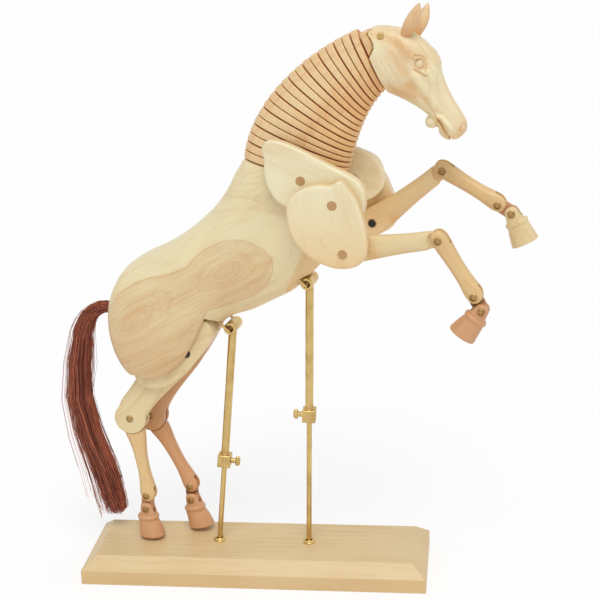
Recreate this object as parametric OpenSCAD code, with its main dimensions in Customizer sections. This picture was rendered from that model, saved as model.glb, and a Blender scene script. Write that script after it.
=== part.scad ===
// Artist's mannequin: a jointed wooden horse, rearing, on a board with two telescopic brass posts.
// The board's underside is at z = 0, its centre at the origin, its long side along X.
// The horse faces +X. It is turned on the board by horse_turn, about a vertical line at turn_x.

/* [Board] */
// Length of the board
board_l = 330; // [280:1:400]
// Width of the board
board_w = 100; // [84:1:130]
// Thickness of the board
board_h = 25; // [20:0.5:32]
// Height of the sloping edge
board_bevel_h = 11; // [6:0.5:14]
// Width of the sloping edge
board_bevel_w = 13; // [8:0.5:18]

/* [Posts] */
// Diameter of the lower rods
rod_d = 5; // [4:0.1:6]
// Outside diameter of the upper tubes
tube_d = 7.6; // [7:0.1:10]
// Diameter of the bore in the upper tubes, above the rod's
rod_clear = 0.1; // [0.04:0.02:0.2]
// Outside diameter of the cross barrels
barrel_d = 11.6; // [10:0.1:14]
// Length of the cross barrels
barrel_l = 23; // [18:0.5:28]
// Bore of the cross barrels
barrel_bore = 7.2; // [6:0.1:8]
// Width of the square collars across the flats
collar_w = 12.6; // [11:0.1:16]
// Height of the square collars
collar_h = 12.5; // [10:0.5:16]
// Thread diameter of the thumbscrews
screw_d = 3; // [2.5:0.1:4]
// Diameter of the thumbscrews' heads
thumb_d = 10; // [8:0.1:12]
// Diameter of the flanges on the board
flange_d = 12; // [10.5:0.1:16]
// Height of the flanges
flange_h = 3; // [2:0.1:5]
// Room round a rod's foot in its flange
foot_room = 0.8; // [0.6:0.1:1.2]
// Thickness of the wire of the bails
bail_d = 2.6; // [2:0.1:3]
// Longest lift of the posts
lift = 40; // [20:1:50]

/* [Horse] */
// Turn of the horse on the board, head towards the front edge
horse_turn = 8; // [0:0.5:12]
// Thickness of the web between the hind legs
web_t = 13; // [11:0.1:16]
// Thickness of the hind leg boards
hind_t = 13; // [11:0.1:14]
// Thickness of the thick upper part of the gaskins
gaskin_head_t = 19.4; // [17:0.1:20]
// Half width of the torso between the shoulder blades
chest_half = 28; // [26:0.1:30]
// Thickness of the shoulder blades
scapula_t = 11; // [9:0.1:12]
// Thickness of the upper arms
humerus_t = 12.6; // [10:0.1:14]
// Half width of the lowest neck disc
neck_base_half = 21.5; // [19:0.5:22]
// Half width of the highest neck disc
neck_top_half = 12.5; // [11:0.5:16]

/* [Legs] */
// Length of the forearm between its pivots
forearm_l = 81; // [70:0.5:92]
// Length of the front cannon between its pivots
front_cannon_l = 57.5; // [50:0.5:66]
// Length of the gaskin between its pivots
gaskin_l = 96.5; // [88:0.5:100]
// Length of the hind cannon between its pivots
hind_cannon_l = 81.5; // [76:0.5:82]
// Length of the pastern between its pivots
pastern_l = 14.2; // [13:0.1:16]
// Height of the hoof pivot above the sole
hoof_h = 29.5; // [26:0.5:30]
// Thickness of the cannons, hooves and knuckles
knuckle_t = 14; // [12:0.1:15]
// Radius of the knuckles
knuckle_r = 7.8; // [7:0.1:8]
// Thickness of the tongues
tongue_t = 5; // [4:0.1:6]

/* [Screws and pins] */
// Diameter of the brass leg screws
leg_screw_d = 3.6; // [3:0.1:4.2]
// Diameter of their heads
leg_head_d = 7.4; // [6.6:0.1:8]
// Thickness of their heads
leg_head_t = 1.6; // [1.2:0.1:2]
// Diameter of the wooden dowels
dowel_d = 9; // [7:0.1:10]
// Diameter of the hip screws
hip_screw_d = 5; // [4:0.1:6]
// Diameter of the hip screws' heads
hip_head_d = 8; // [7:0.1:9]
// Diameter of the head pin
head_pin_d = 6; // [5:0.1:7]
// Diameter of the neck cable
cable_d = 3; // [2:0.1:4]

/* [Fits] */
// Running clearance of a pin in its bore, on the radius
pin_fit = 0.06; // [0.02:0.01:0.1]
// Gap between wooden pieces that slide past each other
wood_gap = 0.4; // [0.3:0.05:0.6]
// Gap between two discs of a pair
disc_gap = 0.5; // [0.4:0.05:0.7]
// Gap between two pairs of discs at the crest
pair_gap_crest = 1.4; // [1.2:0.05:1.8]
// Gap between two pairs of discs at the throat
pair_gap_throat = 1.2; // [1:0.05:1.4]

/* [Hidden] */

$fn = 48;
maple = "#ead9a6";
warm_maple = "#dfc08a";
red_maple = "#d79a68";
brass = "#c9a64a";
steel = "#2b2b2d";
dowel_brown = "#b98a5a";
hair = "#7a3420";
// the line about which the horse is turned on the board
turn_x = 8;
// room round a pin that is fixed in its piece
tight = 0.03;

// ---------------------------------------------------------------- placing in the horse's own frame
module horse() { translate([turn_x, 0, 0]) rotate([0, 0, -horse_turn]) translate([-turn_x, 0, 0]) children(); }
function turned(p) = [turn_x + (p.x - turn_x) * cos(horse_turn) + p.y * sin(horse_turn),
    -(p.x - turn_x) * sin(horse_turn) + p.y * cos(horse_turn), p.z];
// side: -1 is the right side, +1 the left
module swing(at, angle) { translate([at.x, 0, at.y]) rotate([0, -angle, 0]) children(); }
function along(at, l, angle) = [at.x + l * sin(angle), at.y - l * cos(angle)];
// a cylinder across the horse, centred on its middle
module across(r, t, fn = $fn) { rotate([90, 0, 0]) cylinder(r = r, h = t, center = true, $fn = fn); }

// a closed shell through rings of points, each ring with the same number of points
module loft(rings) {
    n = len(rings[0]);
    m = len(rings);
    polyhedron(
        points = [for (r = rings) each r],
        faces = concat(
            [[for (i = [n - 1:-1:0]) i]],
            [for (k = [0:m - 2]) for (i = [0:n - 1]) each [
                [k * n + i, (k + 1) * n + (i + 1) % n, (k + 1) * n + i],
                [k * n + i, k * n + (i + 1) % n, (k + 1) * n + (i + 1) % n]]],
            [[for (i = [0:n - 1]) (m - 1) * n + i]]));
}
function power(v, e) = sign(v) * pow(abs(v), e);
// an oval ring from a top point to a bottom point of the XZ plane, w to each side
function oval(top, bottom, w, e = 0.85, n = 20) = [for (i = [0:n - 1]) let (a = 360 * i / n + 180 / n)
    let (c = power(cos(a), e), s = power(sin(a), e))
    [(top.x + bottom.x) / 2 + (top.x - bottom.x) / 2 * c, w * s, (top.y + bottom.y) / 2 + (top.y - bottom.y) / 2 * c]];
// a smooth closed outline through a few points
function spline(p, k, t) = let (n = len(p), a = p[(k + n - 1) % n], b = p[k], c = p[(k + 1) % n], d = p[(k + 2) % n])
    b + t * (c - a) / 2 + t * t * (2 * a - 5 * b + 4 * c - d) / 2 + t * t * t * (3 * b - a - 3 * c + d) / 2;
function smooth(p, steps = 4) = [for (k = [0:len(p) - 1]) for (j = [0:steps - 1]) spline(p, k, j / steps)];
function bezier(a, b, c, d, t) = pow(1 - t, 3) * a + 3 * pow(1 - t, 2) * t * b + 3 * (1 - t) * t * t * c + t * t * t * d;

// ---------------------------------------------------------------- board and posts
front_foot = [50, 0];
rear_foot = [-38.5, 0];
front_top = turned([61.5, 0, 293.6]);
rear_top = turned([-13.5, 0, 246.3]);
foot_z = board_h - 8;
front_joint = 0.541;
rear_joint = 0.434;
tube_bore = rod_d + 2 * rod_clear;
collar_gap = 0.5;
// stands a piece on the line from a foot on the board to the middle of a barrel, z along it
module on_post(foot, top) {
    v = top - [foot.x, foot.y, foot_z];
    translate([foot.x, foot.y, foot_z]) rotate([0, acos(v.z / norm(v)), atan2(v.y, v.x)]) children();
}
function post_l(foot, top) = norm(top - [foot.x, foot.y, foot_z]);
// turns a piece on the post so that its X is across the line, level
module facing(foot, top, heading) {
    v = top - [foot.x, foot.y, foot_z];
    rotate([0, 0, heading - atan2(v.y, v.x)]) children();
}

// an upright hole round the place where a rod passes a height
module rod_hole(foot, top, z) {
    part = (z - foot_z) / (top.z - foot_z);
    translate([foot.x + (top.x - foot.x) * part, foot.y + (top.y - foot.y) * part, foot_z - 0.6])
        cylinder(d = rod_d + 2 * foot_room, h = board_h);
}
module base_board() {
    color(maple) difference() {
        union() {
            translate([-board_l / 2, -board_w / 2, 0]) cube([board_l, board_w, board_h - board_bevel_h]);
            hull() {
                translate([-board_l / 2, -board_w / 2, board_h - board_bevel_h - 1]) cube([board_l, board_w, 1]);
                translate([-board_l / 2 + board_bevel_w, -board_w / 2 + board_bevel_w, board_h - 1])
                    cube([board_l - 2 * board_bevel_w, board_w - 2 * board_bevel_w, 1]);
            }
        }
        // upright holes in which the leaning rods stand
        rod_hole(front_foot, front_top, (foot_z + board_h) / 2);
        rod_hole(rear_foot, rear_top, (foot_z + board_h) / 2);
    }
}
module post_flanges() {
    color(brass) for (i = [0, 1]) let (f = i ? rear_foot : front_foot, t = i ? rear_top : front_top) difference() {
        translate([f.x, f.y, board_h]) {
            cylinder(d = flange_d, h = flange_h / 2);
            translate([0, 0, flange_h / 2]) cylinder(d1 = flange_d, d2 = flange_d - 2, h = flange_h / 2);
        }
        rod_hole(f, t, board_h + flange_h / 2);
    }
}
// the rod's end stops a little below the barrel so that the tube can come down on it
rod_top_room = 9;
module rod(foot, top, part) {
    on_post(foot, top) cylinder(d = rod_d, h = post_l(foot, top) * part + lift + rod_top_room);
}
module front_rod() { color(brass) rod(front_foot, front_top, front_joint); }
module rear_rod() { color(brass) rod(rear_foot, rear_top, rear_joint); }
module tube(foot, top, part) {
    low = post_l(foot, top) * part;
    on_post(foot, top) difference() {
        union() {
            translate([0, 0, low]) cylinder(d = tube_d, h = post_l(foot, top) - low);
            translate([0, 0, post_l(foot, top)]) facing(foot, top, -horse_turn) across(barrel_d / 2, barrel_l);
        }
        translate([0, 0, low - 1]) cylinder(d = tube_bore, h = post_l(foot, top) - low - barrel_d / 2);
        translate([0, 0, post_l(foot, top)]) facing(foot, top, -horse_turn) across(barrel_bore / 2, barrel_l + 2);
    }
}
module front_tube() { color(brass) tube(front_foot, front_top, front_joint); }
module rear_tube() { color(brass) tube(rear_foot, rear_top, rear_joint); }
// a square collar pushed on below the tube, its thumbscrew's hole towards the heading
module collar(foot, top, part, heading) {
    low = post_l(foot, top) * part;
    on_post(foot, top) translate([0, 0, low - collar_h]) facing(foot, top, heading) difference() {
        translate([-collar_w / 2, -collar_w / 2, 0]) cube([collar_w, collar_w, collar_h]);
        translate([0, 0, -1]) cylinder(d = tube_bore, h = collar_h + 2);
        translate([0, 0, collar_h / 2]) rotate([0, 90, 0]) cylinder(d = screw_d + 2 * pin_fit, h = collar_w);
    }
}
front_heading = 180;
rear_heading = 0;
module front_collar() { color(brass) collar(front_foot, front_top, front_joint, front_heading); }
module rear_collar() { color(brass) collar(rear_foot, rear_top, rear_joint, rear_heading); }
thumb_neck = 4;
module thumbscrew(foot, top, part, heading) {
    low = post_l(foot, top) * part;
    on_post(foot, top) translate([0, 0, low - collar_h / 2]) facing(foot, top, heading) rotate([0, 90, 0]) {
        translate([0, 0, rod_d / 2 + 0.35]) cylinder(d = screw_d, h = collar_w / 2 + thumb_neck);
        translate([0, 0, collar_w / 2 + 0.3]) cylinder(d = screw_d + 2.4, h = thumb_neck);
        translate([0, 0, collar_w / 2 + thumb_neck]) intersection() {
            cylinder(d = thumb_d, h = 4.6);
            translate([-thumb_d, -2.3, 0]) cube([2 * thumb_d, 4.6, 6]);
        }
    }
}
module front_thumbscrew() { color(brass) thumbscrew(front_foot, front_top, front_joint, front_heading); }
module rear_thumbscrew() { color(brass) thumbscrew(rear_foot, rear_top, rear_joint, rear_heading); }

// ---------------------------------------------------------------- places on the horse, in its own XZ plane
front_barrel = [61.5, 293.6];
rear_barrel = [-13.5, 246.3];
shoulder_pin = [67, 395.5];
hip = [-52.4, 225.5];
head_pivot = [134, 515.5];
scapula_l = 35;
humerus_l = 43.6;
// rest angles, from hanging straight down, forward is positive; [right, left]
scapula_a = [60.1, 67.5];
humerus_a = [10.6, 20];
forearm_a = [98.2, 128];
front_cannon_a = [32, 58.8];
front_pastern_a = [27.5, 58.8];
front_hoof_a = [-34.5, 26];
gaskin_a = [-41.1, -33.8];
hind_cannon_a = [7.3, 26.2];
hind_pastern_a = [-5.6, 3];
hind_hoof_a = [0, 9];
function which(side) = side < 0 ? 0 : 1;
function shoulder_at(s) = along(shoulder_pin, scapula_l, scapula_a[which(s)]);
function elbow_at(s) = along(shoulder_at(s), humerus_l, humerus_a[which(s)]);
function knee_at(s) = along(elbow_at(s), forearm_l, forearm_a[which(s)]);
function front_fetlock_at(s) = along(knee_at(s), front_cannon_l, front_cannon_a[which(s)]);
function front_coronet_at(s) = along(front_fetlock_at(s), pastern_l, front_pastern_a[which(s)]);
function hock_at(s) = along(hip, gaskin_l, gaskin_a[which(s)]);
function hind_fetlock_at(s) = along(hock_at(s), hind_cannon_l, hind_cannon_a[which(s)]);
function hind_coronet_at(s) = along(hind_fetlock_at(s), pastern_l, hind_pastern_a[which(s)]);
// distances of the leg layers from the middle plane
hind_y = web_t / 2 + wood_gap + hind_t / 2;
gaskin_head_out = web_t / 2 + wood_gap + gaskin_head_t;
blade_y = chest_half + wood_gap + scapula_t / 2;
arm_y = chest_half + 2 * wood_gap + scapula_t + humerus_t / 2;
module to_layer(s, y) { horse() translate([0, s * y, 0]) children(); }

// ---------------------------------------------------------------- torso
neck_seat = [[8, 406], [97, 388]];
seat_angle = atan2(neck_seat[1].y - neck_seat[0].y, neck_seat[1].x - neck_seat[0].x);
hip_slot_r = 61;
hip_mouth_r = 94;
// reach of the slot from the hip screw, by direction
function slot_r(a) = a > 186 && a < 254 ? hip_mouth_r : a > 170 && a < 338 ? hip_slot_r :
    a > 128 && a <= 170 ? 37 : stifle_slot_r;
boss_in = neck_base_half + 0.6;
boss_r = 10.5;
stifle_slot_r = 42.5;
// top, bottom, half width and fullness of each section from the rump to the breast
trunk = [
    [[-129.4, 258.7], [-129.6, 246.7], 16, 0.8], [[-125, 280.7], [-127.4, 227.7], 28, 0.75],
    [[-112.9, 300.4], [-121.9, 209.6], 36, 0.7], [[-95.6, 312.7], [-109.9, 193.5], 40, 0.65],
    [[-76.3, 321.8], [-84.4, 188.2], 41.5, 0.65], [[-59.1, 331.9], [-60.9, 201], 41, 0.65],
    [[-42.9, 343.6], [-41.1, 227.8], 38.5, 0.7], [[-30.8, 354], [-25.4, 247.6], 35, 0.8],
    [[-19.6, 365.4], [-10.5, 258.5], 32, 0.8], [[-8.3, 381.2], [7.7, 264.5], 30.5, 0.8],
    [[-0.3, 396.1], [28, 274.7], chest_half + 1, 0.8], [[14.9, 413.7], [48.6, 286.1], chest_half, 0.8],
    [[44, 417], [66, 303], chest_half, 0.8], [[74, 412], [81, 319], chest_half - 3, 0.8],
    [[95, 404], [95, 337], chest_half - 9, 0.8], [[104, 392], [103, 354], 11, 0.8]];
// rim of the outer wall beside the thigh, and the opening below it
haunch_rim = [[-110, 197], [-103.6, 202], [-93.2, 200], [-79.7, 202.2], [-66, 209.8], [-54.9, 219.8], [-49.2, 228],
    [-42.6, 239], [-39, 246], [-30.8, 262.8], [-23.5, 253], [-20, 235], [-40, 190], [-80, 170], [-115, 175]];
module torso() {
    color(maple) horse() difference() {
        union() {
            difference() {
                loft([for (s = trunk) oval(s[0], s[1], s[2], s[3])]);
                // the flat on which the neck stands
                translate([neck_seat[0].x, 0, neck_seat[0].y]) rotate([0, -seat_angle, 0])
                    translate([-60, -60, 0]) cube([240, 120, 60]);
            }
            // a boss beside the neck for each shoulder dowel
            for (s = [-1, 1]) translate([shoulder_pin.x, s * (chest_half + boss_in) / 2, shoulder_pin.y])
                across(boss_r, chest_half - boss_in);
        }
        // grooves in the belly for the barrels
        for (b = [front_barrel, rear_barrel]) translate([b.x, 0, b.y]) across(barrel_d / 2 + 0.7, barrel_l + 2);
        // the slots in which the gaskins swing
        for (s = [-1, 1]) translate([hip.x, s * (web_t / 2 + (gaskin_head_t + 2 * wood_gap) / 2), hip.y])
            rotate([90, 0, 0])
                linear_extrude(height = gaskin_head_t + 2 * wood_gap, center = true)
                    polygon([for (a = [0:4:356]) slot_r(a) * [cos(a), sin(a)]]);
        for (s = [-1, 1]) translate([0, s * (gaskin_head_out + wood_gap - 0.2 + 15), 0]) rotate([90, 0, 0])
            linear_extrude(height = 30, center = true) polygon(haunch_rim);
        // bores
        translate([hip.x, 0, hip.y]) across(hip_screw_d / 2 + tight, web_t + 2);
        translate([shoulder_pin.x, 0, shoulder_pin.y]) across(dowel_d / 2 + tight, 2 * chest_half + 2);
        translate([neck_cable_path[0].x, 0, neck_cable_path[0].y]) rotate([0, -seat_angle, 0])
            translate([0, 0, -24]) cylinder(d = cable_d + 1.2, h = 40);
        for (b = [front_barrel, rear_barrel]) for (e = [-1, 1])
            translate([b.x, e * bail_half, b.y - bail_drop]) rotate([0, bail_tilt, 0])
                cylinder(d = bail_d + 2 * tight, h = bail_reach + tight);
        tail_socket(tail_root_d / 2 + tight);
    }
}
bail_half = barrel_l / 2 + 2;
bail_tilt = -45;
bail_reach = 26;
// a wire staple through each barrel, resting on the floor of its bore, its ends in the belly
bail_drop = (barrel_bore - bail_d) / 2 - 0.5;
module belly_bails() {
    color(brass) horse() for (b = [front_barrel, rear_barrel]) {
        translate([b.x, 0, b.y - bail_drop]) across(bail_d / 2, 2 * bail_half);
        for (e = [-1, 1]) translate([b.x, e * bail_half, b.y - bail_drop]) {
            sphere(d = bail_d);
            rotate([0, bail_tilt, 0]) cylinder(d = bail_d, h = bail_reach);
        }
    }
}
module shoulder_dowels() {
    out = chest_half + wood_gap + scapula_t;
    color(dowel_brown) horse() for (s = [-1, 1])
        translate([shoulder_pin.x, s * (out + boss_in) / 2, shoulder_pin.y]) across(dowel_d / 2, out - boss_in);
}
hip_head_t = 2.4;
module hip_screws() {
    color(steel) horse() for (s = [-1, 1]) translate([hip.x, 0, hip.y]) {
        translate([0, s * (gaskin_head_out + 1) / 2, 0]) across(hip_screw_d / 2, gaskin_head_out - 1);
        translate([0, s * (gaskin_head_out - hip_head_t / 2), 0]) across(hip_head_d / 2, hip_head_t);
    }
}
tail_root = [-130, 257];
tail_root_d = 12;
tail_angle = -70;
module tail_socket(r) {
    translate([tail_root.x, 0, tail_root.y]) rotate([0, tail_angle, 0]) translate([0, 0, -16]) cylinder(r = r, h = 30);
}

// ---------------------------------------------------------------- neck
disc_count = 19;
function crest_at(k) = let (t = k / disc_count) bezier([6, 407], [12, 453], [58, 497], [112, 520], t + 0.04 * sin(180 * t));
function throat_at(k) = bezier([98.5, 388.3], [106, 412], [112, 447], [135.5, 469], k / disc_count);
function neck_half(k) = neck_base_half + (neck_top_half - neck_base_half) * k / disc_count;
cable_share = 0.55;
neck_cable_path = [for (k = [0:disc_count]) cable_share * throat_at(k) + (1 - cable_share) * crest_at(k)];
disc_round = 1.1;
// a face of a disc: moved up from line k by a gap at each end, drawn in by the rounding of its rim
function disc_ring(k, up_crest, up_throat, inset, half) =
    let (c = crest_at(k), t = throat_at(k), u = (t - c) / norm(t - c), v = [-u.y, u.x])
    oval(c + v * up_crest + u * inset, t + v * up_throat - u * inset, half - inset, 0.9, 24);
// which gap lies at line k: even lines are between pairs, odd lines inside a pair
function gap_crest(k) = (k % 2 == 0 || k == disc_count) ? pair_gap_crest / 2 : disc_gap / 2;
function gap_throat(k) = (k % 2 == 0 || k == disc_count) ? pair_gap_throat / 2 : disc_gap / 2;
module neck_disc(k) {
    h = neck_half(k + 0.5);
    bore_k = (neck_cable_path[k] + neck_cable_path[k + 1]) / 2;
    d = neck_cable_path[k + 1] - neck_cable_path[k];
    difference() {
        loft([
            disc_ring(k, gap_crest(k), gap_throat(k), disc_round, h),
            disc_ring(k, gap_crest(k) + disc_round, gap_throat(k) + disc_round * 0.6, 0, h),
            disc_ring(k + 1, -gap_crest(k + 1) - disc_round, -gap_throat(k + 1) - disc_round * 0.6, 0, h),
            disc_ring(k + 1, -gap_crest(k + 1), -gap_throat(k + 1), disc_round, h)]);
        translate([bore_k.x, 0, bore_k.y]) rotate([0, atan2(d.x, d.y), 0]) cylinder(d = cable_d + 1.2, h = 24, center = true);
    }
}
module neck_discs(pair) {
    color(warm_maple) horse() for (k = [2 * pair - 2:min(2 * pair - 1, disc_count - 1)]) neck_disc(k);
}
seat_up = [-sin(seat_angle), cos(seat_angle)];
cable_path = concat([neck_cable_path[0] - 20 * seat_up], neck_cable_path);
function cable_ring(k) = let (n = len(cable_path) - 1, d = cable_path[min(k + 1, n)] - cable_path[max(k - 1, 0)],
    u = d / norm(d)) [for (i = [0:7]) let (a = 45 * i)
    [cable_path[k].x + u.y * cos(a) * cable_d / 2, sin(a) * cable_d / 2, cable_path[k].y - u.x * cos(a) * cable_d / 2]];
module neck_cable() {
    color(steel) horse() loft([for (k = [len(cable_path) - 1:-1:0]) cable_ring(k)]);
}
poll_t = 15;
head_slot_r = 16;
module poll_block() {
    c = crest_at(disc_count);
    t = throat_at(disc_count);
    u = (t - c) / norm(t - c);
    v = [-u.y, u.x];
    foot = [c + v * pair_gap_crest / 2 + u, t + v * pair_gap_throat / 2 - 4 * u];
    color(warm_maple) horse() difference() {
        rotate([90, 0, 0]) linear_extrude(height = poll_t, center = true) union() {
            polygon([foot[0], foot[1], foot[1] + 4 * v, head_pivot + 7 * u + 2 * v, head_pivot, foot[0] + [2, 1]]);
            translate(head_pivot) circle(r = 6.2);
        }
        translate([head_pivot.x, 0, head_pivot.y]) across(head_pin_d / 2 + pin_fit, poll_t + 2);
    }
}

// ---------------------------------------------------------------- head
head_gap = 1.7;
// top, bottom and half width of each section from the poll to the muzzle
skull = [
    [[119, 517], [127, 470], 12], [[128, 521], [134, 467.5], 16.5], [[139, 522], [143, 464], 18.5],
    [[151, 520], [151, 460.5], 19], [[163, 514.5], [158, 456.5], 19], [[173, 506], [163, 453], 18.5],
    [[181, 495], [167, 449.5], 16.5], [[184, 484], [170, 444.5], 14], [[187, 472], [172.5, 440], 12],
    [[192, 461], [176, 434.5], 11.5], [[199, 451], [182, 428.5], 11.5], [[203.5, 441], [190, 426], 9.5],
    [[203, 433.5], [197, 427.5], 5.5]];
module head() {
    c = crest_at(disc_count);
    t = throat_at(disc_count);
    a = atan2(t.y - c.y, t.x - c.x);
    color(maple) horse() difference() {
        loft([for (s = skull) oval(s[0], s[1], s[2], 0.85)]);
        // the back of the cheeks, along the highest disc
        translate([c.x, 0, c.y]) rotate([0, -a, 0]) translate([-40, -40, head_gap - 60]) cube([140, 80, 60]);
        // the slot for the poll block
        rotate([90, 0, 0]) linear_extrude(height = poll_t + 2 * wood_gap, center = true) union() {
            translate(head_pivot) circle(r = 7.4);
            polygon([head_pivot + [2, 7.2], head_pivot + [-30, 14], t + [-30, -30], t + [5, -8], t + [12, 2], head_pivot + [8, -10]]);
        }
        translate([head_pivot.x, 0, head_pivot.y]) across(head_pin_d / 2 + tight, 60);
        ear_sockets();
    }
}
module head_pin() {
    color(brass) horse() translate([head_pivot.x, 0, head_pivot.y]) across(head_pin_d / 2, 2 * 15.5);
}
// roots and leans of the two ears, [right, left]
ear_root = [[155, 518], [159, 513.5]];
ear_lean = [27, 23];
ear_l = 27;
ear_y = 9.5;
ear_peg_d = 6;
module ear_place(s) {
    r = ear_root[which(s)];
    translate([r.x, s * ear_y, r.y]) rotate([-10 * s, ear_lean[which(s)], 0]) children();
}
module ear_sockets() { for (s = [-1, 1]) ear_place(s) translate([0, 0, -6.5]) cylinder(d = ear_peg_d, h = 20); }
// half depth, half width and height of each section of an ear
ear_shape = [[5, 4, 2.6], [6.2, 5, 7], [6, 4.8, 13], [4.6, 3.6, 19], [2.6, 2, 24], [0.6, 0.5, ear_l]];
module ears() {
    color(red_maple) horse() for (s = [-1, 1]) ear_place(s) {
        translate([0, 0, -6.3]) cylinder(d = ear_peg_d - 0.1, h = 9.8);
        loft([for (e = ear_shape) [for (i = [15:-1:0]) [e[0] * cos(22.5 * i), e[1] * sin(22.5 * i), e[2]]]]);
    }
}

// ---------------------------------------------------------------- tail
tail_path = [[-126, 258], [-138, 258.5], [-152, 252.5], [-161, 241], [-167, 224], [-171, 200], [-173.5, 172],
    [-171, 146], [-164, 118], [-155, 90], [-149, 64], [-146, 42]];
tail_half = [[5.8, 5.8], [6.2, 6.2], [7.2, 6.8], [8.6, 7.6], [9.8, 8.4], [10.8, 9], [12.5, 10], [12.5, 10],
    [12, 9.5], [12, 9.5], [10.5, 8], [6, 5]];
module tail() {
    n = len(tail_path) - 1;
    rings = [for (k = [1:n]) let (d = tail_path[min(k + 1, n)] - tail_path[k - 1], u = d / norm(d))
        [for (i = [0:11]) let (a = 30 * i) [tail_path[k].x - u.y * tail_half[k].x * cos(a), tail_half[k].y * sin(a),
            tail_path[k].y + u.x * tail_half[k].x * cos(a)]]];
    color(hair) horse() union() {
        loft(rings);
        intersection() {
            tail_socket(tail_root_d / 2);
            translate([-158, -20, 230]) cube([38, 40, 50]);
        }
    }
}

// ---------------------------------------------------------------- front legs
// outlines in each piece's own plane: its upper pivot at the origin, its lower pivot at [0, -length]
scapula_outline = [[6, 43], [13, 43], [18, 39], [22, 28], [24, 10], [25, -12], [26.5, -32], [25, -46],
    [16, -56], [1, -61], [-14, -53], [-24, -34], [-28, -12], [-28, 8], [-22, 21], [-12, 31], [-1, 37]];
module scapula(s) {
    color(maple) to_layer(s, blade_y) swing(shoulder_pin, scapula_a[which(s)]) difference() {
        rotate([90, 0, 0]) linear_extrude(height = scapula_t, center = true) polygon(smooth(scapula_outline));
        across(dowel_d / 2 + pin_fit, scapula_t + 2);
        translate([0, 0, -scapula_l]) across(dowel_d / 2 + pin_fit, scapula_t + 2);
    }
}
humerus_outline = [[-36, 12], [-24, 18], [-10, 19], [2, 17], [11, 20], [17, 11], [22, -2], [24, -20],
    [23, -39], [18, -51], [7, -57], [-8, -56], [-22, -49], [-33, -39], [-41, -25], [-43.5, -12], [-41, 3]];
module humerus(s) {
    color(maple) to_layer(s, arm_y) swing(shoulder_at(s), humerus_a[which(s)]) difference() {
        rotate([90, 0, 0]) linear_extrude(height = humerus_t, center = true) polygon(smooth(humerus_outline));
        across(dowel_d / 2 + tight, humerus_t + 2);
        translate([0, 0, -humerus_l]) across(dowel_d / 2 + tight, humerus_t + 2);
    }
}
// dowels held in the upper arm, turning in the shoulder blade and in the forearm
module humerus_dowels(s) {
    reach = humerus_t + wood_gap + scapula_t;
    color(dowel_brown) to_layer(s, arm_y + s * 0) swing(shoulder_at(s), humerus_a[which(s)])
        for (z = [0, -humerus_l]) translate([0, s * (humerus_t - reach) / 2, z]) across(dowel_d / 2, reach);
}
forearm_head_r = 13;
forearm_end_r = 8.2;
// the round hollow in a shoulder in which a fork turns, and the tongue that passes into the fork
module knuckle_hollow() { across(knuckle_r + cannon_offset + wood_gap, 60); }
// a disc across the leg with its rims taken off, for the round-edged bones
module soft(r, t, rim = 2.6) {
    across(r, t - 2 * rim, 32);
    across(r - rim, t, 32);
}
module tongue(back) {
    hull() {
        across(knuckle_r - 1, tongue_t, 32);
        translate([0, 0, back]) across(knuckle_r - 1, tongue_t, 32);
    }
}
module pin_bore(r, t) { across(r, t); }
module forearm(s) {
    color(maple) to_layer(s, blade_y) swing(elbow_at(s), forearm_a[which(s)]) difference() {
        union() {
            difference() {
                union() {
                    across(forearm_head_r, scapula_t);
                    hull() {
                        translate([0, 0, -8]) soft(11.5, scapula_t);
                        translate([0, 0, -forearm_l + 14]) soft(forearm_end_r, scapula_t);
                    }
                }
                translate([0, 0, -forearm_l]) knuckle_hollow();
            }
            translate([0, 0, -forearm_l]) tongue(20);
        }
        pin_bore(dowel_d / 2 + pin_fit, scapula_t + 2);
        translate([0, 0, -forearm_l]) pin_bore(leg_screw_d / 2 + pin_fit, scapula_t + 2);
    }
}
fork_slot_t = tongue_t + 2 * wood_gap;
fork_slot_r = knuckle_r + 3.4;
cannon_offset = 1.2;
// bore of a screw, its head and its nut let into the two cheeks
module screw_bore(t) {
    across(leg_screw_d / 2 + tight, t + 2);
    for (e = [-1, 1]) translate([0, e * (t / 2 - leg_head_t / 2 + 0.5), 0]) across(leg_head_d / 2 + 0.05, leg_head_t + 1);
}
module leg_screw(t) {
    across(leg_screw_d / 2, t - leg_head_t);
    for (e = [-1, 1]) translate([0, e * (t / 2 - leg_head_t / 2), 0]) across(leg_head_d / 2, leg_head_t);
}
module front_cannon(s) {
    color(warm_maple) to_layer(s, blade_y) swing(knee_at(s), front_cannon_a[which(s)]) difference() {
        union() {
            hull() {
                translate([cannon_offset, 0, 0]) soft(knuckle_r, knuckle_t);
                translate([cannon_offset, 0, -front_cannon_l / 2]) soft(knuckle_r - 1.4, knuckle_t);
            }
            hull() {
                translate([cannon_offset, 0, -front_cannon_l / 2]) soft(knuckle_r - 1.4, knuckle_t);
                translate([cannon_offset, 0, -front_cannon_l + 1]) soft(knuckle_r, knuckle_t);
            }
        }
        across(fork_slot_r, fork_slot_t);
        translate([0, 0, -front_cannon_l]) across(fork_slot_r, fork_slot_t);
        screw_bore(knuckle_t);
        translate([0, 0, -front_cannon_l]) screw_bore(knuckle_t);
    }
}
module front_cannon_screws(s) {
    color(brass) to_layer(s, blade_y) swing(knee_at(s), front_cannon_a[which(s)]) {
        leg_screw(knuckle_t);
        translate([0, 0, -front_cannon_l]) leg_screw(knuckle_t);
    }
}
pastern_r = 6.2;
module pastern(at, angle, s, y) {
    color(red_maple) to_layer(s, y) swing(at, angle) difference() {
        union() {
            hull() {
                across(pastern_r, tongue_t, 32);
                translate([0, 0, -pastern_l]) across(pastern_r, tongue_t, 32);
            }
        }
        pin_bore(leg_screw_d / 2 + pin_fit, tongue_t + 2);
        translate([0, 0, -pastern_l]) pin_bore(leg_screw_d / 2 + pin_fit, tongue_t + 2);
    }
}
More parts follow.
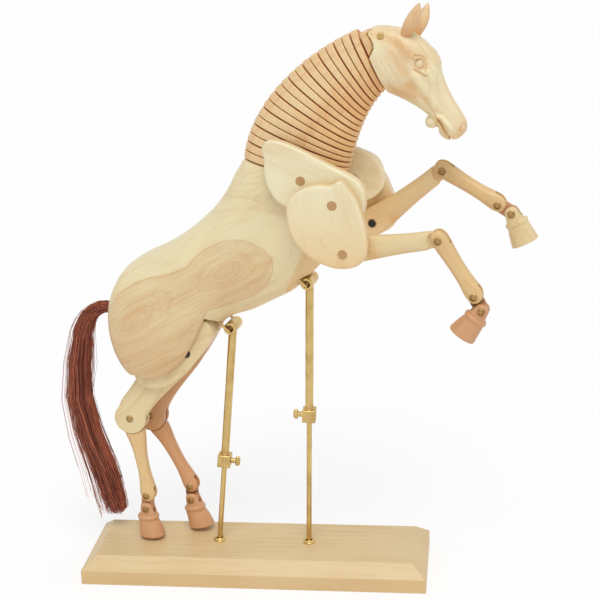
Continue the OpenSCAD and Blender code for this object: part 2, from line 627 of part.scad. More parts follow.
module front_pastern(s) { pastern(front_fetlock_at(s), front_pastern_a[which(s)], s, blade_y); }
hoof_fork_r = 6.4;
hoof_cheek_h = 10;
// half depth, half width and height below the pivot of each section of a hoof
hoof_shape = [[9.2, 7.2, 7.4], [10.6, 8.6, 8.6], [10.6, 8.6, 11.4], [9.8, 8, 12.6],
    [10.8, 9, 18], [12.6, 10.4, hoof_h - 0.8], [12, 9.8, hoof_h]];
// lean: how far forward of the pivot the middle of the sole lies
module hoof(at, angle, s, y, lean) {
    color(red_maple) to_layer(s, y) swing(at, angle) difference() {
        union() {
            hull() {
                soft(hoof_fork_r, knuckle_t, 1.4);
                translate([lean * 0.4, 0, -hoof_cheek_h]) soft(hoof_fork_r + 0.6, knuckle_t, 1.4);
            }
            loft([for (h = hoof_shape) [for (i = [0:19]) let (a = 18 * i)
                [lean * h[2] / hoof_h + h[0] * power(cos(a), 0.9), h[1] * power(sin(a), 0.9), -h[2]]]]);
        }
        across(8.4, fork_slot_t);
        screw_bore(knuckle_t);
    }
}
module front_hoof(s) { hoof(front_coronet_at(s), front_hoof_a[which(s)], s, blade_y, -1); }
module front_hoof_screw(s) {
    color(brass) to_layer(s, blade_y) swing(front_coronet_at(s), front_hoof_a[which(s)]) leg_screw(knuckle_t);
}

// ---------------------------------------------------------------- hind legs
// the thick upper part of a gaskin, seen from the side, about the hip pivot in the horse's plane at a = 0
gaskin_head = [[19, 33], [27, 22], [25, 14], [12, -4], [-4, -22], [-22, -34], [-38, -37], [-50, -31],
    [-52, -18], [-38, -4], [-16, 8], [2, 14]];
// radius of the gaskin's round lower end, and how far the hock bends, for which the cannon's shoulder is cut away
hock_r = 15.6;
hock_travel = 24;
module gaskin(s) {
    a = gaskin_a[which(s)];
    out = s * (gaskin_head_t - hind_t) / 2;
    color(warm_maple) to_layer(s, hind_y) difference() {
        union() {
            translate([hip.x, out, hip.y]) rotate([90, 0, 0])
                linear_extrude(height = gaskin_head_t, center = true) rotate(a - gaskin_a[0]) polygon(smooth(gaskin_head));
            swing(hip, a) {
                hull() {
                    translate([-8, 0, -26]) across(20, hind_t, 32);
                    translate([-5, 0, -gaskin_l + 30]) across(14, hind_t, 32);
                }
                hull() {
                    translate([-5, 0, -gaskin_l + 30]) across(14, hind_t, 32);
                    translate([0, 0, -gaskin_l]) soft(hock_r, hind_t, 1.5);
                }
            }
        }
        swing(hip, a) {
            translate([0, 0, -gaskin_l]) across(hock_slot_r, fork_slot_t);
            translate([0, 0, -gaskin_l]) gaskin_screw_bore();
            across(hip_screw_d / 2 + pin_fit, 60);
            translate([0, s * (gaskin_head_t - hind_t / 2 - hip_head_t / 2 + 0.5), 0]) across(hip_head_d / 2 + 0.1, hip_head_t + 1);
        }
    }
}
// the hock screw turns in the cheeks and is held by the cannon's tongue
module gaskin_screw_bore() {
    across(leg_screw_d / 2 + pin_fit, hind_t + 2);
    for (e = [-1, 1]) translate([0, e * (hind_t / 2 - leg_head_t / 2 + 0.5), 0]) across(leg_head_d / 2 + 0.1, leg_head_t + 1);
}
hock_slot_r = 20;
hock_tongue_l = 24;
module hind_cannon(s) {
    color(warm_maple) to_layer(s, hind_y) swing(hock_at(s), hind_cannon_a[which(s)]) difference() {
        union() {
            difference() {
                union() {
                    hull() {
                        translate([-0.5, 0, -12]) soft(knuckle_r + 2.8, hind_t);
                        translate([1, 0, -hind_cannon_l * 0.55]) soft(knuckle_r - 1.4, hind_t);
                    }
                    hull() {
                        translate([1, 0, -hind_cannon_l * 0.55]) soft(knuckle_r - 1.4, hind_t);
                        translate([cannon_offset, 0, -hind_cannon_l + 1]) soft(knuckle_r, hind_t);
                    }
                }
                across(hock_r + wood_gap, 60);
                rotate([0, hind_cannon_a[which(s)] - gaskin_a[which(s)] + hock_travel, 0]) hull() {
                    across(hock_r + wood_gap, 60);
                    translate([-5, 0, 30]) across(14 + wood_gap, 60);
                }
            }
            tongue(-hock_tongue_l);
        }
        across(leg_screw_d / 2 + tight, hind_t + 2);
        translate([0, 0, -hind_cannon_l]) across(fork_slot_r, fork_slot_t);
        translate([0, 0, -hind_cannon_l]) screw_bore(hind_t);
    }
}
module hind_cannon_screws(s) {
    color(brass) to_layer(s, hind_y) swing(hock_at(s), hind_cannon_a[which(s)]) {
        leg_screw(hind_t);
        translate([0, 0, -hind_cannon_l]) leg_screw(hind_t);
    }
}
module hind_pastern(s) { pastern(hind_fetlock_at(s), hind_pastern_a[which(s)], s, hind_y); }
module hind_hoof(s) { hoof(hind_coronet_at(s), hind_hoof_a[which(s)], s, hind_y, 3); }
module hind_hoof_screw(s) {
    color(brass) to_layer(s, hind_y) swing(hind_coronet_at(s), hind_hoof_a[which(s)]) leg_screw(knuckle_t);
}

base_board();
post_flanges();
front_rod();
front_tube();
front_collar();
front_thumbscrew();
rear_rod();
rear_tube();
rear_collar();
rear_thumbscrew();
torso();
belly_bails();
shoulder_dowels();
hip_screws();
neck_cable();
for (pair = [1:10]) neck_discs(pair);
poll_block();
head();
ears();
head_pin();
tail();
for (s = [-1, 1]) {
    name = s < 0 ? "right_" : "left_";
    scapula(s);
    humerus(s);
    humerus_dowels(s);
    forearm(s);
    front_cannon(s);
    front_cannon_screws(s);
    front_pastern(s);
    front_hoof(s);
    front_hoof_screw(s);
    gaskin(s);
    hind_cannon(s);
    hind_cannon_screws(s);
    hind_pastern(s);
    hind_hoof(s);
    hind_hoof_screw(s);
}
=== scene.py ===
# A jointed wooden horse for drawing practice, rearing over a chamfered board on two telescopic brass posts.
# Pieces follow in the order in which the figure is put together: board, posts, trunk, neck, head, tail, legs.
# Unless a line says otherwise, places are in millimetres in the horse's own frame, which is turned on the board.
import random
from math import atan2, copysign, cos, degrees, pi, radians, sin, sqrt
import bpy
import bmesh
import numpy as np
from mathutils import Matrix, Vector


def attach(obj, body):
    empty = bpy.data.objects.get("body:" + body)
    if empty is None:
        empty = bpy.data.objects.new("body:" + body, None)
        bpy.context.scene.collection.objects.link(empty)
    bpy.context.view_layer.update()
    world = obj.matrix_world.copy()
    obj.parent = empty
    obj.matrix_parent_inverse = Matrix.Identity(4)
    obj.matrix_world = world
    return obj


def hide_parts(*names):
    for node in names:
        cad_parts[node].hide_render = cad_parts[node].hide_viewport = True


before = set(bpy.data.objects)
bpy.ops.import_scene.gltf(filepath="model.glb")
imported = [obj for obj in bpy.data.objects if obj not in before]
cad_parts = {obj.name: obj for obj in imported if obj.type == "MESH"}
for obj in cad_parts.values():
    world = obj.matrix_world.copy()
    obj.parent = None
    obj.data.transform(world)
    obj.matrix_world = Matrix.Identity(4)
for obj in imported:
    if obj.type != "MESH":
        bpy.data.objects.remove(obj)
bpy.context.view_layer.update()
scene = bpy.context.scene
scene.view_settings.view_transform = "Standard"

# Camera: a long lens a little above the figure and slightly ahead of square-on, tipped by two degrees.
swing, rise, tip = radians(7.502), radians(18.516), radians(-2.211)
aim = Vector((0.050556, 0.0, 0.272314))
back = Vector((sin(swing) * cos(rise), -cos(swing) * cos(rise), sin(rise)))
level = (-back).cross(Vector((0, 0, 1))).normalized()
upright = level.cross(-back)
side_axis = cos(tip) * level + sin(tip) * upright
up_axis = cos(tip) * upright - sin(tip) * level
def placed(name, data):
    """An object in the scene, at the origin."""
    made = bpy.data.objects.new(name, data)
    scene.collection.objects.link(made)
    return made

lens = bpy.data.cameras.new("camera")
lens.sensor_width = 36
lens.lens = 86.21826
camera = placed("camera", lens)
distance = 1.315533
camera.matrix_world = Matrix.Translation(aim
    + back * distance) @ Matrix((side_axis, up_axis, back)).transposed().to_4x4()
scene.camera = camera

# Studio: white surroundings, one broad soft lamp above and to the left, and a white floor that keeps a faint shadow.
def tree_of(owner):
    owner.use_nodes = True
    owner.node_tree.nodes.clear()
    return owner.node_tree

def node(tree, kind, links=(), **settings):
    """A node, a shader node if only its short name is given; links are (input, source or value) pairs."""
    made = tree.nodes.new(kind if "Node" in kind else "ShaderNode" + kind)
    for key, value in settings.items():
        setattr(made, key, value)
    for place, source in links:
        if isinstance(source, bpy.types.NodeSocket):
            tree.links.new(source, made.inputs[place])
        else:
            made.inputs[place].default_value = source
    return made

def sockets(group, takes, gives):
    """Names a group's inputs, as (name, kind, first value), and its outputs, as (name, kind)."""
    for label, kind, value in takes:
        made = group.interface.new_socket(label, in_out="INPUT", socket_type="NodeSocket" + kind)
        if value is not None:
            made.default_value = value
    for label, kind in gives:
        group.interface.new_socket(label, in_out="OUTPUT", socket_type="NodeSocket" + kind)
    return node(group, "NodeGroupInput").outputs

studio = bpy.data.worlds.new("studio")
scene.world = studio
sky = tree_of(studio)
seen = node(sky, "LightPath")
direct = node(sky, "Math", [(0, seen.outputs["Is Camera Ray"]), (1, seen.outputs["Is Glossy Ray"])],
    operation="MAXIMUM")
strength = node(sky, "MapRange", [("Value", direct.outputs[0]), ("To Min", 0.56), ("To Max", 1.0)])
glow = node(sky, "Background", [("Color", (1, 1, 1, 1)), ("Strength", strength.outputs[0])])
node(sky, "OutputWorld", [("Surface", glow.outputs[0])])

lamp = bpy.data.lights.new("soft_lamp", "SUN")
lamp.energy = 1.45
lamp.angle = radians(32)
lamp_holder = placed("soft_lamp", lamp)
lamp_holder.rotation_euler = Vector((0.10, -0.50, 0.90)).to_track_quat("Z", "Y").to_euler()

paper = bpy.data.materials.new("floor_white")
shade = tree_of(paper)
matt = node(shade, "BsdfDiffuse", [("Color", (0.95, 0.95, 0.95, 1))])
lit = node(shade, "Emission", [("Color", (1, 1, 1, 1)), ("Strength", 1.02)])
both = node(shade, "MixShader", [(0, 0.72), (1, matt.outputs[0]), (2, lit.outputs[0])])
node(shade, "OutputMaterial", [("Surface", both.outputs[0])])
sheet = bpy.data.meshes.new("floor")
sheet.from_pydata([(-4, -4, -0.0002), (4, -4, -0.0002), (4, 5, -0.0002), (-4, 5, -0.0002)], [], [(0, 1, 2, 3)])
sheet.materials.append(paper)
placed("floor", sheet)

# The board: one maple plank, planed flat, its upper edges run off at a slope, the grain along its length.
# Its wood is the pale, straight-grained finish that the rest of the figure shares in warmer and redder cuts.
def piece(name, points, faces, smooth=True):
    """A mesh object at the origin, its points in the board's metres."""
    mesh = bpy.data.meshes.new(name)
    mesh.from_pydata([tuple(p) for p in points], [], [tuple(f) for f in faces])
    if smooth:
        mesh.shade_smooth()
    return placed(name, mesh)

def as_mesh(made):
    """The mesh that a curve, or a piece with its modifiers, comes to."""
    bpy.context.view_layer.update()
    return bpy.data.meshes.new_from_object(made.evaluated_get(bpy.context.evaluated_depsgraph_get()))

def worked(made, *steps):
    """Runs modifiers on a piece, given as (kind, settings), and keeps the result as its mesh."""
    for kind, settings in steps:
        step = made.modifiers.new(kind.lower(), kind)
        for key, value in settings.items():
            setattr(step, key, value)
    fresh = as_mesh(made)
    made.modifiers.clear()
    old = made.data
    made.data = fresh
    fresh.name = made.name
    bpy.data.meshes.remove(old)
    return made

def cut(made, *tools, operation="DIFFERENCE"):
    """Takes each tool's shape out of a piece."""
    worked(made, *[("BOOLEAN", dict(object=t, operation=operation, solver="EXACT")) for t in tools])
    for t in tools:
        bpy.data.objects.remove(t)
    return made

def fused(made, *others):
    """Joins overlapping shapes into one skin."""
    return cut(made, *others, operation="UNION")

def eased(made, width, segments, angle):
    """Rounds the edges sharper than an angle."""
    return worked(made, ("BEVEL", dict(width=width, segments=segments, limit_method="ANGLE",
        angle_limit=radians(angle))))

def rod_between(name, start, end, radius):
    """A round bar between two places in metres."""
    sides = 48
    start, end = Vector(start), Vector(end)
    turn = (end - start).to_track_quat("Z", "Y").to_matrix()
    ring = [turn @ Vector((radius * cos(2 * pi * i / sides), radius * sin(2 * pi * i / sides), 0))
        for i in range(sides)]
    points = [start + p for p in ring] + [end + p for p in ring]
    faces = [(i, (i + 1) % sides, sides + (i + 1) % sides, sides + i) for i in range(sides)]
    faces += [tuple(range(sides - 1, -1, -1)), tuple(range(sides, 2 * sides))]
    return piece(name, points, faces, smooth=False)

surface_outputs = [("Colour", "Color"), ("Roughness", "Float"), ("Height", "Float")]

def wood_grain():
    """Growth rings cut by the surface, long fibres, flecks and boards of slightly different tone, and a warm tint for
    amber and painted shade.
    """
    group = bpy.data.node_groups.new("wood_grain", "ShaderNodeTree")
    given = sockets(group, [("Place", "Vector", None), ("Pale", "Color", (0.8, 0.68, 0.42, 1)),
        ("Warm", "Color", (0.6, 0.38, 0.17, 1)), ("Ring gap", "Float", 6.0), ("Ring depth", "Float", 0.3),
        ("Board", "Float", 60.0), ("Board tone", "Float", 0.0), ("Spots", "Float", 1.0), ("Flush", "Float", 0.0)],
        surface_outputs)
    mm = node(group, "VectorMath", [(0, given["Place"]), (1, (1000, 1000, 1000))], operation="MULTIPLY")
    def stretched(scale):
        return node(group, "VectorMath", [(0, mm.outputs[0]), (1, scale)], operation="MULTIPLY").outputs[0]
    def noise(scale, detail=2.0):
        return node(group, "TexNoise",
            [("Vector", stretched(scale)), ("Scale", 1.0), ("Detail", detail), ("Roughness", 0.55)]).outputs["Fac"]
    def sum_of(a, b, op="ADD"):
        return node(group, "Math", [(0, a), (1, b)], operation=op).outputs[0]
    sway = noise((0.022, 0.03, 0.009), 3.0)
    parts = node(group, "SeparateXYZ", [(0, mm.outputs[0])])
    bow = sum_of(sum_of(parts.outputs["X"], parts.outputs["X"], "MULTIPLY"), 0.004, "MULTIPLY")
    depth = sum_of(sum_of(parts.outputs["Y"], bow), sum_of(sum_of(sway, -0.5), 14.0, "MULTIPLY"))
    ring = sum_of(sum_of(depth, given["Ring gap"], "DIVIDE"), 1.0, "FRACT")
    late = sum_of(sum_of(ring, 5.0, "POWER"), given["Ring depth"], "MULTIPLY")
    fibre = noise((1.5, 1.5, 0.04), 4.0)
    streak = noise((0.35, 0.35, 0.012), 3.0)
    blotch = noise((0.028, 0.028, 0.014), 2.0)
    fleck = noise((3.2, 3.2, 0.35), 2.0)
    plank = sum_of(sum_of(parts.outputs["Y"], given["Board"], "DIVIDE"), 0.5)
    which = sum_of(plank, 0.0, "FLOOR")
    tone = node(group, "Clamp", [(0, sum_of(sum_of(which, 0.0, "ABSOLUTE"), -1.0))]).outputs[0]
    seam = sum_of(sum_of(plank, 1.0, "FRACT"), 0.975, "GREATER_THAN")
    warm = sum_of(sum_of(sum_of(fibre, -0.5), 0.55, "MULTIPLY"), late)
    warm = sum_of(warm, sum_of(sum_of(streak, -0.5), 0.7, "MULTIPLY"))
    warm = sum_of(warm, sum_of(sum_of(blotch, -0.45), given["Spots"], "MULTIPLY"))
    warm = sum_of(warm, sum_of(tone, given["Board tone"], "MULTIPLY"))
    warm = sum_of(warm, sum_of(seam, sum_of(given["Board tone"], 0.45, "MULTIPLY"), "MULTIPLY"))
    warm = node(group, "Clamp", [(0, warm)]).outputs[0]
    blend = node(group, "Mix", [(0, warm), (6, given["Pale"]), (7, given["Warm"])], data_type="RGBA").outputs[2]
    dark = node(group, "MapRange", [("Value", fleck), ("From Min", 0.6), ("From Max", 0.8), ("To Min", 1.0),
        ("To Max", 0.86)]).outputs[0]
    # The tint mixes towards a warm amber colour: partly the wood's own warmer tone, partly painted shade.
    amber_and_shade = node(group, "VectorMath", [(0, blend), (1, (0.94, 0.73, 0.54))], operation="MULTIPLY").outputs[0]
    blend = node(group, "Mix", [(0, given["Flush"]), (6, blend), (7, amber_and_shade)], data_type="RGBA").outputs[2]
    colour = node(group, "VectorMath", [(0, blend), ("Scale", dark)], operation="SCALE").outputs[0]
    rough = sum_of(sum_of(fibre, 0.3, "MULTIPLY"), 0.3)
    height = sum_of(sum_of(fibre, 0.7, "MULTIPLY"), sum_of(late, 0.6, "MULTIPLY"))
    node(group, "NodeGroupOutput", [("Colour", colour), ("Roughness", rough), ("Height", height)])
    return group

grain_group = wood_grain()

def wood(name, pale, warm, ring_gap=6.0, ring_depth=0.3, board=60.0, board_tone=0.0, turned=None, spots=1.0):
    """A waxed wood; the grain runs along each piece's own length, kept in its grain attribute."""
    made = bpy.data.materials.new(name)
    tree = tree_of(made)
    if turned is None:
        place = node(tree, "Attribute", attribute_name="grain").outputs["Vector"]
    else:
        own = node(tree, "TexCoord").outputs["Object"]
        place = node(tree, "Mapping", [("Vector", own), ("Rotation", turned)]).outputs[0]
    look = node(tree, "Group", node_tree=grain_group)
    for key, value in (("Pale", (*pale, 1)), ("Warm", (*warm, 1)), ("Ring gap", ring_gap), ("Ring depth", ring_depth),
            ("Board", board), ("Board tone", board_tone), ("Spots", spots)):
        look.inputs[key].default_value = value
    tree.links.new(place, look.inputs["Place"])
    # Each piece's painted shade and amber tint comes from its point attribute.
    tree.links.new(node(tree, "Attribute", attribute_name="flush").outputs["Fac"], look.inputs["Flush"])
    bump = node(tree, "Bump", [("Strength", 0.25), ("Distance", 0.0002), ("Height", look.outputs["Height"])])
    skin = node(tree, "BsdfPrincipled",
        [("Base Color", look.outputs["Colour"]), ("Roughness", look.outputs["Roughness"]),
        ("Normal", bump.outputs[0]), ("Coat Weight", 0.12), ("Coat Roughness", 0.3)])
    node(tree, "OutputMaterial", [("Surface", skin.outputs[0])])
    return made

def paint_shade_and_amber(made, amount=0.0, under_shade=0.45, sides=0.0):
    """Keeps a warm tint at each point: the amount given where asked, plus painted shade on undersides and on upright
    faces.
    """
    normals = np.empty(len(made.data.vertices) * 3)
    made.data.vertex_normals.foreach_get("vector", normals)
    nz = normals[2::3]
    # Painted shade: undersides by under_shade, upright faces by sides.
    level = np.clip(amount + under_shade * np.clip(0.1 - nz, 0, 1) + sides * (1 - np.abs(nz)), 0, 1)
    kept = made.data.attributes.new("flush", "FLOAT", "POINT")
    kept.data.foreach_set("value", np.broadcast_to(level, nz.shape).astype(np.float32))
    return made

def dress(made, material, body, slot, *stands_for):
    """Gives a piece its material, the body that it rides on and the nodes that it replaces; its slot is not used."""
    made.data.materials.clear()
    made.data.materials.append(material)
    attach(made, body)
    if stands_for:
        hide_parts(*stands_for)
    return made

half_l, half_w, top, edge, slope, rod_depth, rod_hole = 0.165, 0.050, 0.025, 0.014, 0.013, 0.0165, 0.0033
square = ((-1, -1), (1, -1), (1, 1), (-1, 1))
corners = [(x * half_l, y * half_w, z) for z in (0, edge) for x, y in square]
corners += [(x * (half_l - slope), y * (half_w - slope), top) for x, y in square]
board = piece("board", corners, [(3, 2, 1, 0)]
    + [(a + i, a + (i + 1) % 4, a + 4 + (i + 1) % 4, a + 4 + i) for a in (0, 4) for i in range(4)] + [(8, 9, 10, 11)],
    smooth=False)
eased(board, 0.0006, 2, 20)
for x in (0.0502, -0.0381):
    cut(board, rod_between("drill", (x, 0, rod_depth), (x, 0, top + 0.005), rod_hole))
board_wood = wood("board_maple", (0.70, 0.54, 0.29), (0.58, 0.35, 0.15), ring_gap=9.0, ring_depth=0.25, board=146.0,
    board_tone=0.12, turned=(0, radians(90), 0))
# The board's upright faces and underside get painted shade through the warm tint.
dress(paint_shade_and_amber(board, sides=0.5), board_wood, "stand", "maple", "base_board")

# The flanges: two turned brass washers, dished round the feet of the rods. The rods and tubes are drawn brass.
# The front rod stands in the board; the tubes slide over the rods and end in cross barrels under the belly.
def brass_wear():
    """Fine drawn lines, duller patches and finger marks on metal."""
    group = bpy.data.node_groups.new("metal_wear", "ShaderNodeTree")
    given = sockets(group, [("Place", "Vector", None), ("Bright", "Color", (0.8, 0.6, 0.3, 1)),
        ("Dull", "Color", (0.5, 0.33, 0.12, 1)), ("Polish", "Float", 0.25)], surface_outputs)
    def noise(scale, detail):
        big = node(group, "VectorMath", [(0, given["Place"]), (1, scale)], operation="MULTIPLY").outputs[0]
        return node(group, "TexNoise", [("Vector", big), ("Scale", 1.0), ("Detail", detail)]).outputs["Fac"]
    patch = noise((90, 90, 60), 3.0)
    line = noise((2600, 2600, 60), 2.0)
    dull = node(group, "MapRange", [("Value", patch), ("From Min", 0.42), ("From Max", 0.72), ("To Min", 0.0),
        ("To Max", 0.75)]).outputs[0]
    colour = node(group, "Mix", [(0, dull), (6, given["Bright"]), (7, given["Dull"])], data_type="RGBA").outputs[2]
    rough = node(group, "Math", [(0, dull), (1, 0.22), (2, given["Polish"])], operation="MULTIPLY_ADD").outputs[0]
    node(group, "NodeGroupOutput", [("Colour", colour), ("Roughness", rough), ("Height", line)])
    return group

wear_group = brass_wear()

def metal(name, bright, dull, polish=0.22, metallic=1.0):
    """A metal with the shared wear."""
    made = bpy.data.materials.new(name)
    tree = tree_of(made)
    look = node(tree, "Group", node_tree=wear_group)
    for key, value in (("Bright", (*bright, 1)), ("Dull", (*dull, 1)), ("Polish", polish)):
        look.inputs[key].default_value = value
    tree.links.new(node(tree, "TexCoord").outputs["Object"], look.inputs["Place"])
    bump = node(tree, "Bump", [("Strength", 0.12), ("Distance", 0.00005), ("Height", look.outputs["Height"])])
    skin = node(tree, "BsdfPrincipled",
        [("Base Color", look.outputs["Colour"]), ("Roughness", look.outputs["Roughness"]), ("Metallic", metallic),
        ("Normal", bump.outputs[0])])
    node(tree, "OutputMaterial", [("Surface", skin.outputs[0])])
    return made

brass = metal("drawn_brass", (0.66, 0.47, 0.19), (0.45, 0.28, 0.10))
black_steel = metal("blackened_steel", (0.03, 0.03, 0.033), (0.06, 0.055, 0.05), polish=0.4, metallic=0.6)

def outward(made, merge=0.0):
    """Turns every face of a closed shape outwards, after merging its doubled points where asked."""
    tidy = bmesh.new()
    tidy.from_mesh(made.data)
    if merge:
        bmesh.ops.remove_doubles(tidy, verts=tidy.verts, dist=merge)
    bmesh.ops.recalc_face_normals(tidy, faces=tidy.faces)
    tidy.to_mesh(made.data)
    tidy.free()
    return made

def turned_part(name, profile, origin, axis, sides=40):
    """A lathe-turned shape about an axis in metres; its closed profile is (radius, height) in millimetres."""
    turn = Vector(axis).to_track_quat("Z", "Y").to_matrix()
    points, faces, n = [], [], len(profile)
    for r, h in profile:
        for i in range(sides):
            a = 2 * pi * i / sides
            points.append(Vector(origin) + turn @ Vector((r * cos(a), r * sin(a), h)) / 1000)
    for k in range(n):
        for i in range(sides):
            a, b = k * sides, ((k + 1) % n) * sides
            faces.append((a + i, a + (i + 1) % sides, b + (i + 1) % sides, b + i))
    made = outward(piece(name, points, faces), merge=1e-7)
    made.data.shade_smooth()
    made.data.set_sharp_from_angle(angle=radians(38))
    return made

def together(name, *parts):
    """One object from several separate shapes that move as one."""
    tidy = bmesh.new()
    for p in parts:
        tidy.from_mesh(p.data)
    mesh = bpy.data.meshes.new(name)
    tidy.to_mesh(mesh)
    tidy.free()
    for p in parts:
        bpy.data.objects.remove(p)
    mesh.shade_smooth()
    mesh.set_sharp_from_angle(angle=radians(38))
    return placed(name, mesh)

yaw, pivot_x = radians(8), 8
turn_c, turn_s = cos(yaw), sin(yaw)

def on_board(points):
    """From the horse's own millimetres to the board's metres."""
    p = np.atleast_2d(np.asarray(points, float))
    x, y = p[:, 0] - pivot_x, p[:, 1]
    return np.column_stack((pivot_x + x * turn_c + y * turn_s, -x * turn_s + y * turn_c, p[:, 2])) / 1000

front_foot, rear_foot = Vector((0.050, 0, 0.017)), Vector((-0.0385, 0, 0.017))
barrel_at = ((61.5, 293.6), (-13.5, 246.3))
front_barrel, rear_barrel = (Vector(on_board((x, 0, z))[0]) for x, z in barrel_at)
flanges = []
for foot, head in ((front_foot, front_barrel), (rear_foot, rear_barrel)):
    at = foot + (head - foot) * ((0.0265 - foot.z) / (head.z - foot.z))
    flanges.append(turned_part("flange",
        [(3.3, 0), (6, 0), (6, 0.9), (5.6, 1.3), (5.0, 1.5), (4.6, 2.6), (4.1, 3.0), (3.7, 2.9), (3.3, 2.4)],
        (at.x, at.y, 0.025), (0, 0, 1)))
dress(together("flanges", *flanges), brass, "stand", "brass", "post_flanges")

tube_start, inside = {}, 49
for name, foot, head, share, rod_body, tube_body in (("front", front_foot, front_barrel, 0.541, "stand", "torso"),
        ("rear", rear_foot, rear_barrel, 0.434, "rear_rod", "rear_tube")):
    line = head - foot
    along = line.normalized()
    low = foot + line * share
    tube_start[name] = (low, along)
    reach, span = (head - low).length * 1000, (line * share).length * 1000 + inside
    rod = turned_part(name + "_rod", [(0.01, 0), (2.2, 0), (2.5, 0.3), (2.5, span - 0.3), (2.2, span), (0.01, span)],
        foot, along)
    dress(rod, brass, rod_body, "brass", name + "_rod")
    tube = turned_part(name + "_post", [(2.6, 0), (3.5, 0), (3.8, 0.3), (3.8, reach - 4), (2.6, reach - 4)], low,
        along)
    cross = Vector((turn_s, turn_c, 0))
    cross = (cross - along * cross.dot(along)).normalized()
    barrel = turned_part("barrel", [(3.6, -11.5), (5.2, -11.5), (5.8, -10.9), (5.8, 10.9), (5.2, 11.5), (3.6, 11.5)],
        head, cross)
    dress(together(name + "_tube", tube, barrel), brass, tube_body, "brass", name + "_tube")

# The collars: square brass blocks pressed on the tubes' lower ends, each with a thumbscrew that clamps the rod.
# They are sawn from bar, with eased edges; the thumbscrews have a turned neck and a flattened head.
for name, heading, body, screw_body in (("front", Vector((-1, 0, 0)), "torso", "front_thumbscrew"),
        ("rear", Vector((1, 0, 0)), "rear_tube", "rear_thumbscrew")):
    low, along = tube_start[name]
    out = (heading - along * heading.dot(along)).normalized()
    side = along.cross(out)
    h, w = 0.0125, 0.0063
    corners = [low + along * (z - h) + out * (x * w) + side * (y * w) for z in (0, h) for x, y in square]
    block = piece("block", corners,
        [(3, 2, 1, 0), (4, 5, 6, 7)] + [(i, (i + 1) % 4, 4 + (i + 1) % 4, 4 + i) for i in range(4)], smooth=False)
    worked(block, ("BEVEL", dict(width=0.0009, segments=3)))
    cut(block, rod_between("bore", low - along * 0.02, low + along * 0.005, 0.0026),
        rod_between("bore", low - along * 0.00625, low - along * 0.00625 + out * 0.02, 0.00156))
    lip = turned_part("lip", [(3.85, 0), (4.6, 0), (4.6, 1.2), (4.3, 1.6), (3.85, 1.6)], low, along)
    block.data.shade_smooth()
    dress(together(name + "_collar", block, lip), brass, body, "brass", name + "_collar")
    base = low - along * (h / 2)
    stem = turned_part("stem", [(0.01, 2.85), (1.5, 2.85), (1.5, 6.5), (2.7, 6.65), (2.7, 8.2), (2.2, 9.0),
        (2.2, 10.4), (0.01, 10.4)], base, out)
    wing_points, wing_faces, rings, n = [], [], 9, 28
    for k in range(rings):
        f = k / (rings - 1)
        z, swell = 10.2 + 4.8 * f, sin(pi * (0.12 + 0.8 * f)) ** 0.45
        for i in range(n):
            a = 2 * pi * i / n
            tall, wide = (half * swell * copysign(abs(v) ** 0.8, v) for half, v in ((5.0, cos(a)), (2.3, sin(a))))
            wing_points.append(base + (out * z + along * tall + side * wide) / 1000)
    for k in range(rings - 1):
        wing_faces += [(k * n + i, k * n + (i + 1) % n, (k + 1) * n + (i + 1) % n, (k + 1) * n + i) for i in range(n)]
    wing_faces += [tuple(range(n - 1, -1, -1)), tuple((rings - 1) * n + i for i in range(n))]
    wing = outward(piece("wing", wing_points, wing_faces))
    dress(together(name + "_thumb", stem, wing), brass, screw_body, "brass", name + "_thumbscrew")

# The trunk: laminated maple, carved round, with two slots behind in which the thighs swing and a flat for the neck.
# A lofted solid is sawn and drilled, then sanded: remeshed and softened at its edges.
def curve_through(rows, steps):
    """More rows on a smooth curve through the given ones."""
    rows = np.asarray(rows, float)
    out = []
    for k in range(len(rows) - 1):
        a, b, c, d = rows[max(k - 1, 0)], rows[k], rows[k + 1], rows[min(k + 2, len(rows) - 1)]
        for j in range(steps):
            t = j / steps
            out.append(b + t * (c - a) / 2 + t * t * (2 * a - 5 * b + 4 * c - d) / 2
                + t ** 3 * (3 * b - a - 3 * c + d) / 2)
    out.append(rows[-1])
    return np.array(out)

def bent(v, e):
    """A power of a number that keeps its sign."""
    return np.sign(v) * np.abs(v) ** e

def oval(tx, tz, bx, bz, w, e, n=56, lean=0.0):
    """A cross section from a top point to a bottom point, w to each side; lean moves its widest part down."""
    a = np.linspace(0, 2 * np.pi, n, endpoint=False)
    c, s = bent(np.cos(a), e), bent(np.sin(a), e)
    m = (c - lean * (1 - c * c))
    return np.column_stack(((tx + bx) / 2 + (tx - bx) / 2 * m, w * s, (tz + bz) / 2 + (tz - bz) / 2 * m))

def lofted(name, rings):
    """A closed skin over rings in the horse's millimetres, with a point in the middle of each end."""
    n, m = len(rings[0]), len(rings)
    points = np.vstack([*rings, rings[0].mean(0), rings[-1].mean(0)])
    faces = [(k * n + i, k * n + (i + 1) % n, (k + 1) * n + (i + 1) % n, (k + 1) * n + i) for k in range(m - 1)
        for i in range(n)]
    faces += [((i + 1) % n, i, n * m) for i in range(n)] + [((m - 1) * n + i, (m - 1) * n + (i + 1) % n, n * m + 1)
        for i in range(n)]
    return outward(piece(name, on_board(points), faces))

def prism(name, outline, y0, y1):
    """A flat outline in the horse's own side view, made solid from one distance off the middle plane to another."""
    n = len(outline)
    points = [(x, y, z) for y in (y0, y1) for x, z in outline]
    faces = [tuple(range(n)), tuple(range(2 * n - 1, n - 1, -1))] + [(i, n + i, n + (i + 1) % n, (i + 1) % n)
        for i in range(n)]
    return outward(piece(name, on_board(points), faces, smooth=False))

def across(name, x, z, radius, y0, y1):
    """A round bar across the horse."""
    ends = on_board([(x, y0, z), (x, y1, z)])
    return rod_between(name, ends[0], ends[1], radius / 1000)

def hung(places, at, angle):
    """Side-view places in a part's own frame, hung at a point and turned forward by an angle in degrees."""
    c, s = cos(radians(angle)), sin(radians(angle))
    return [(at[0] + x * c - z * s, at[1] + x * s + z * c) for x, z in places]

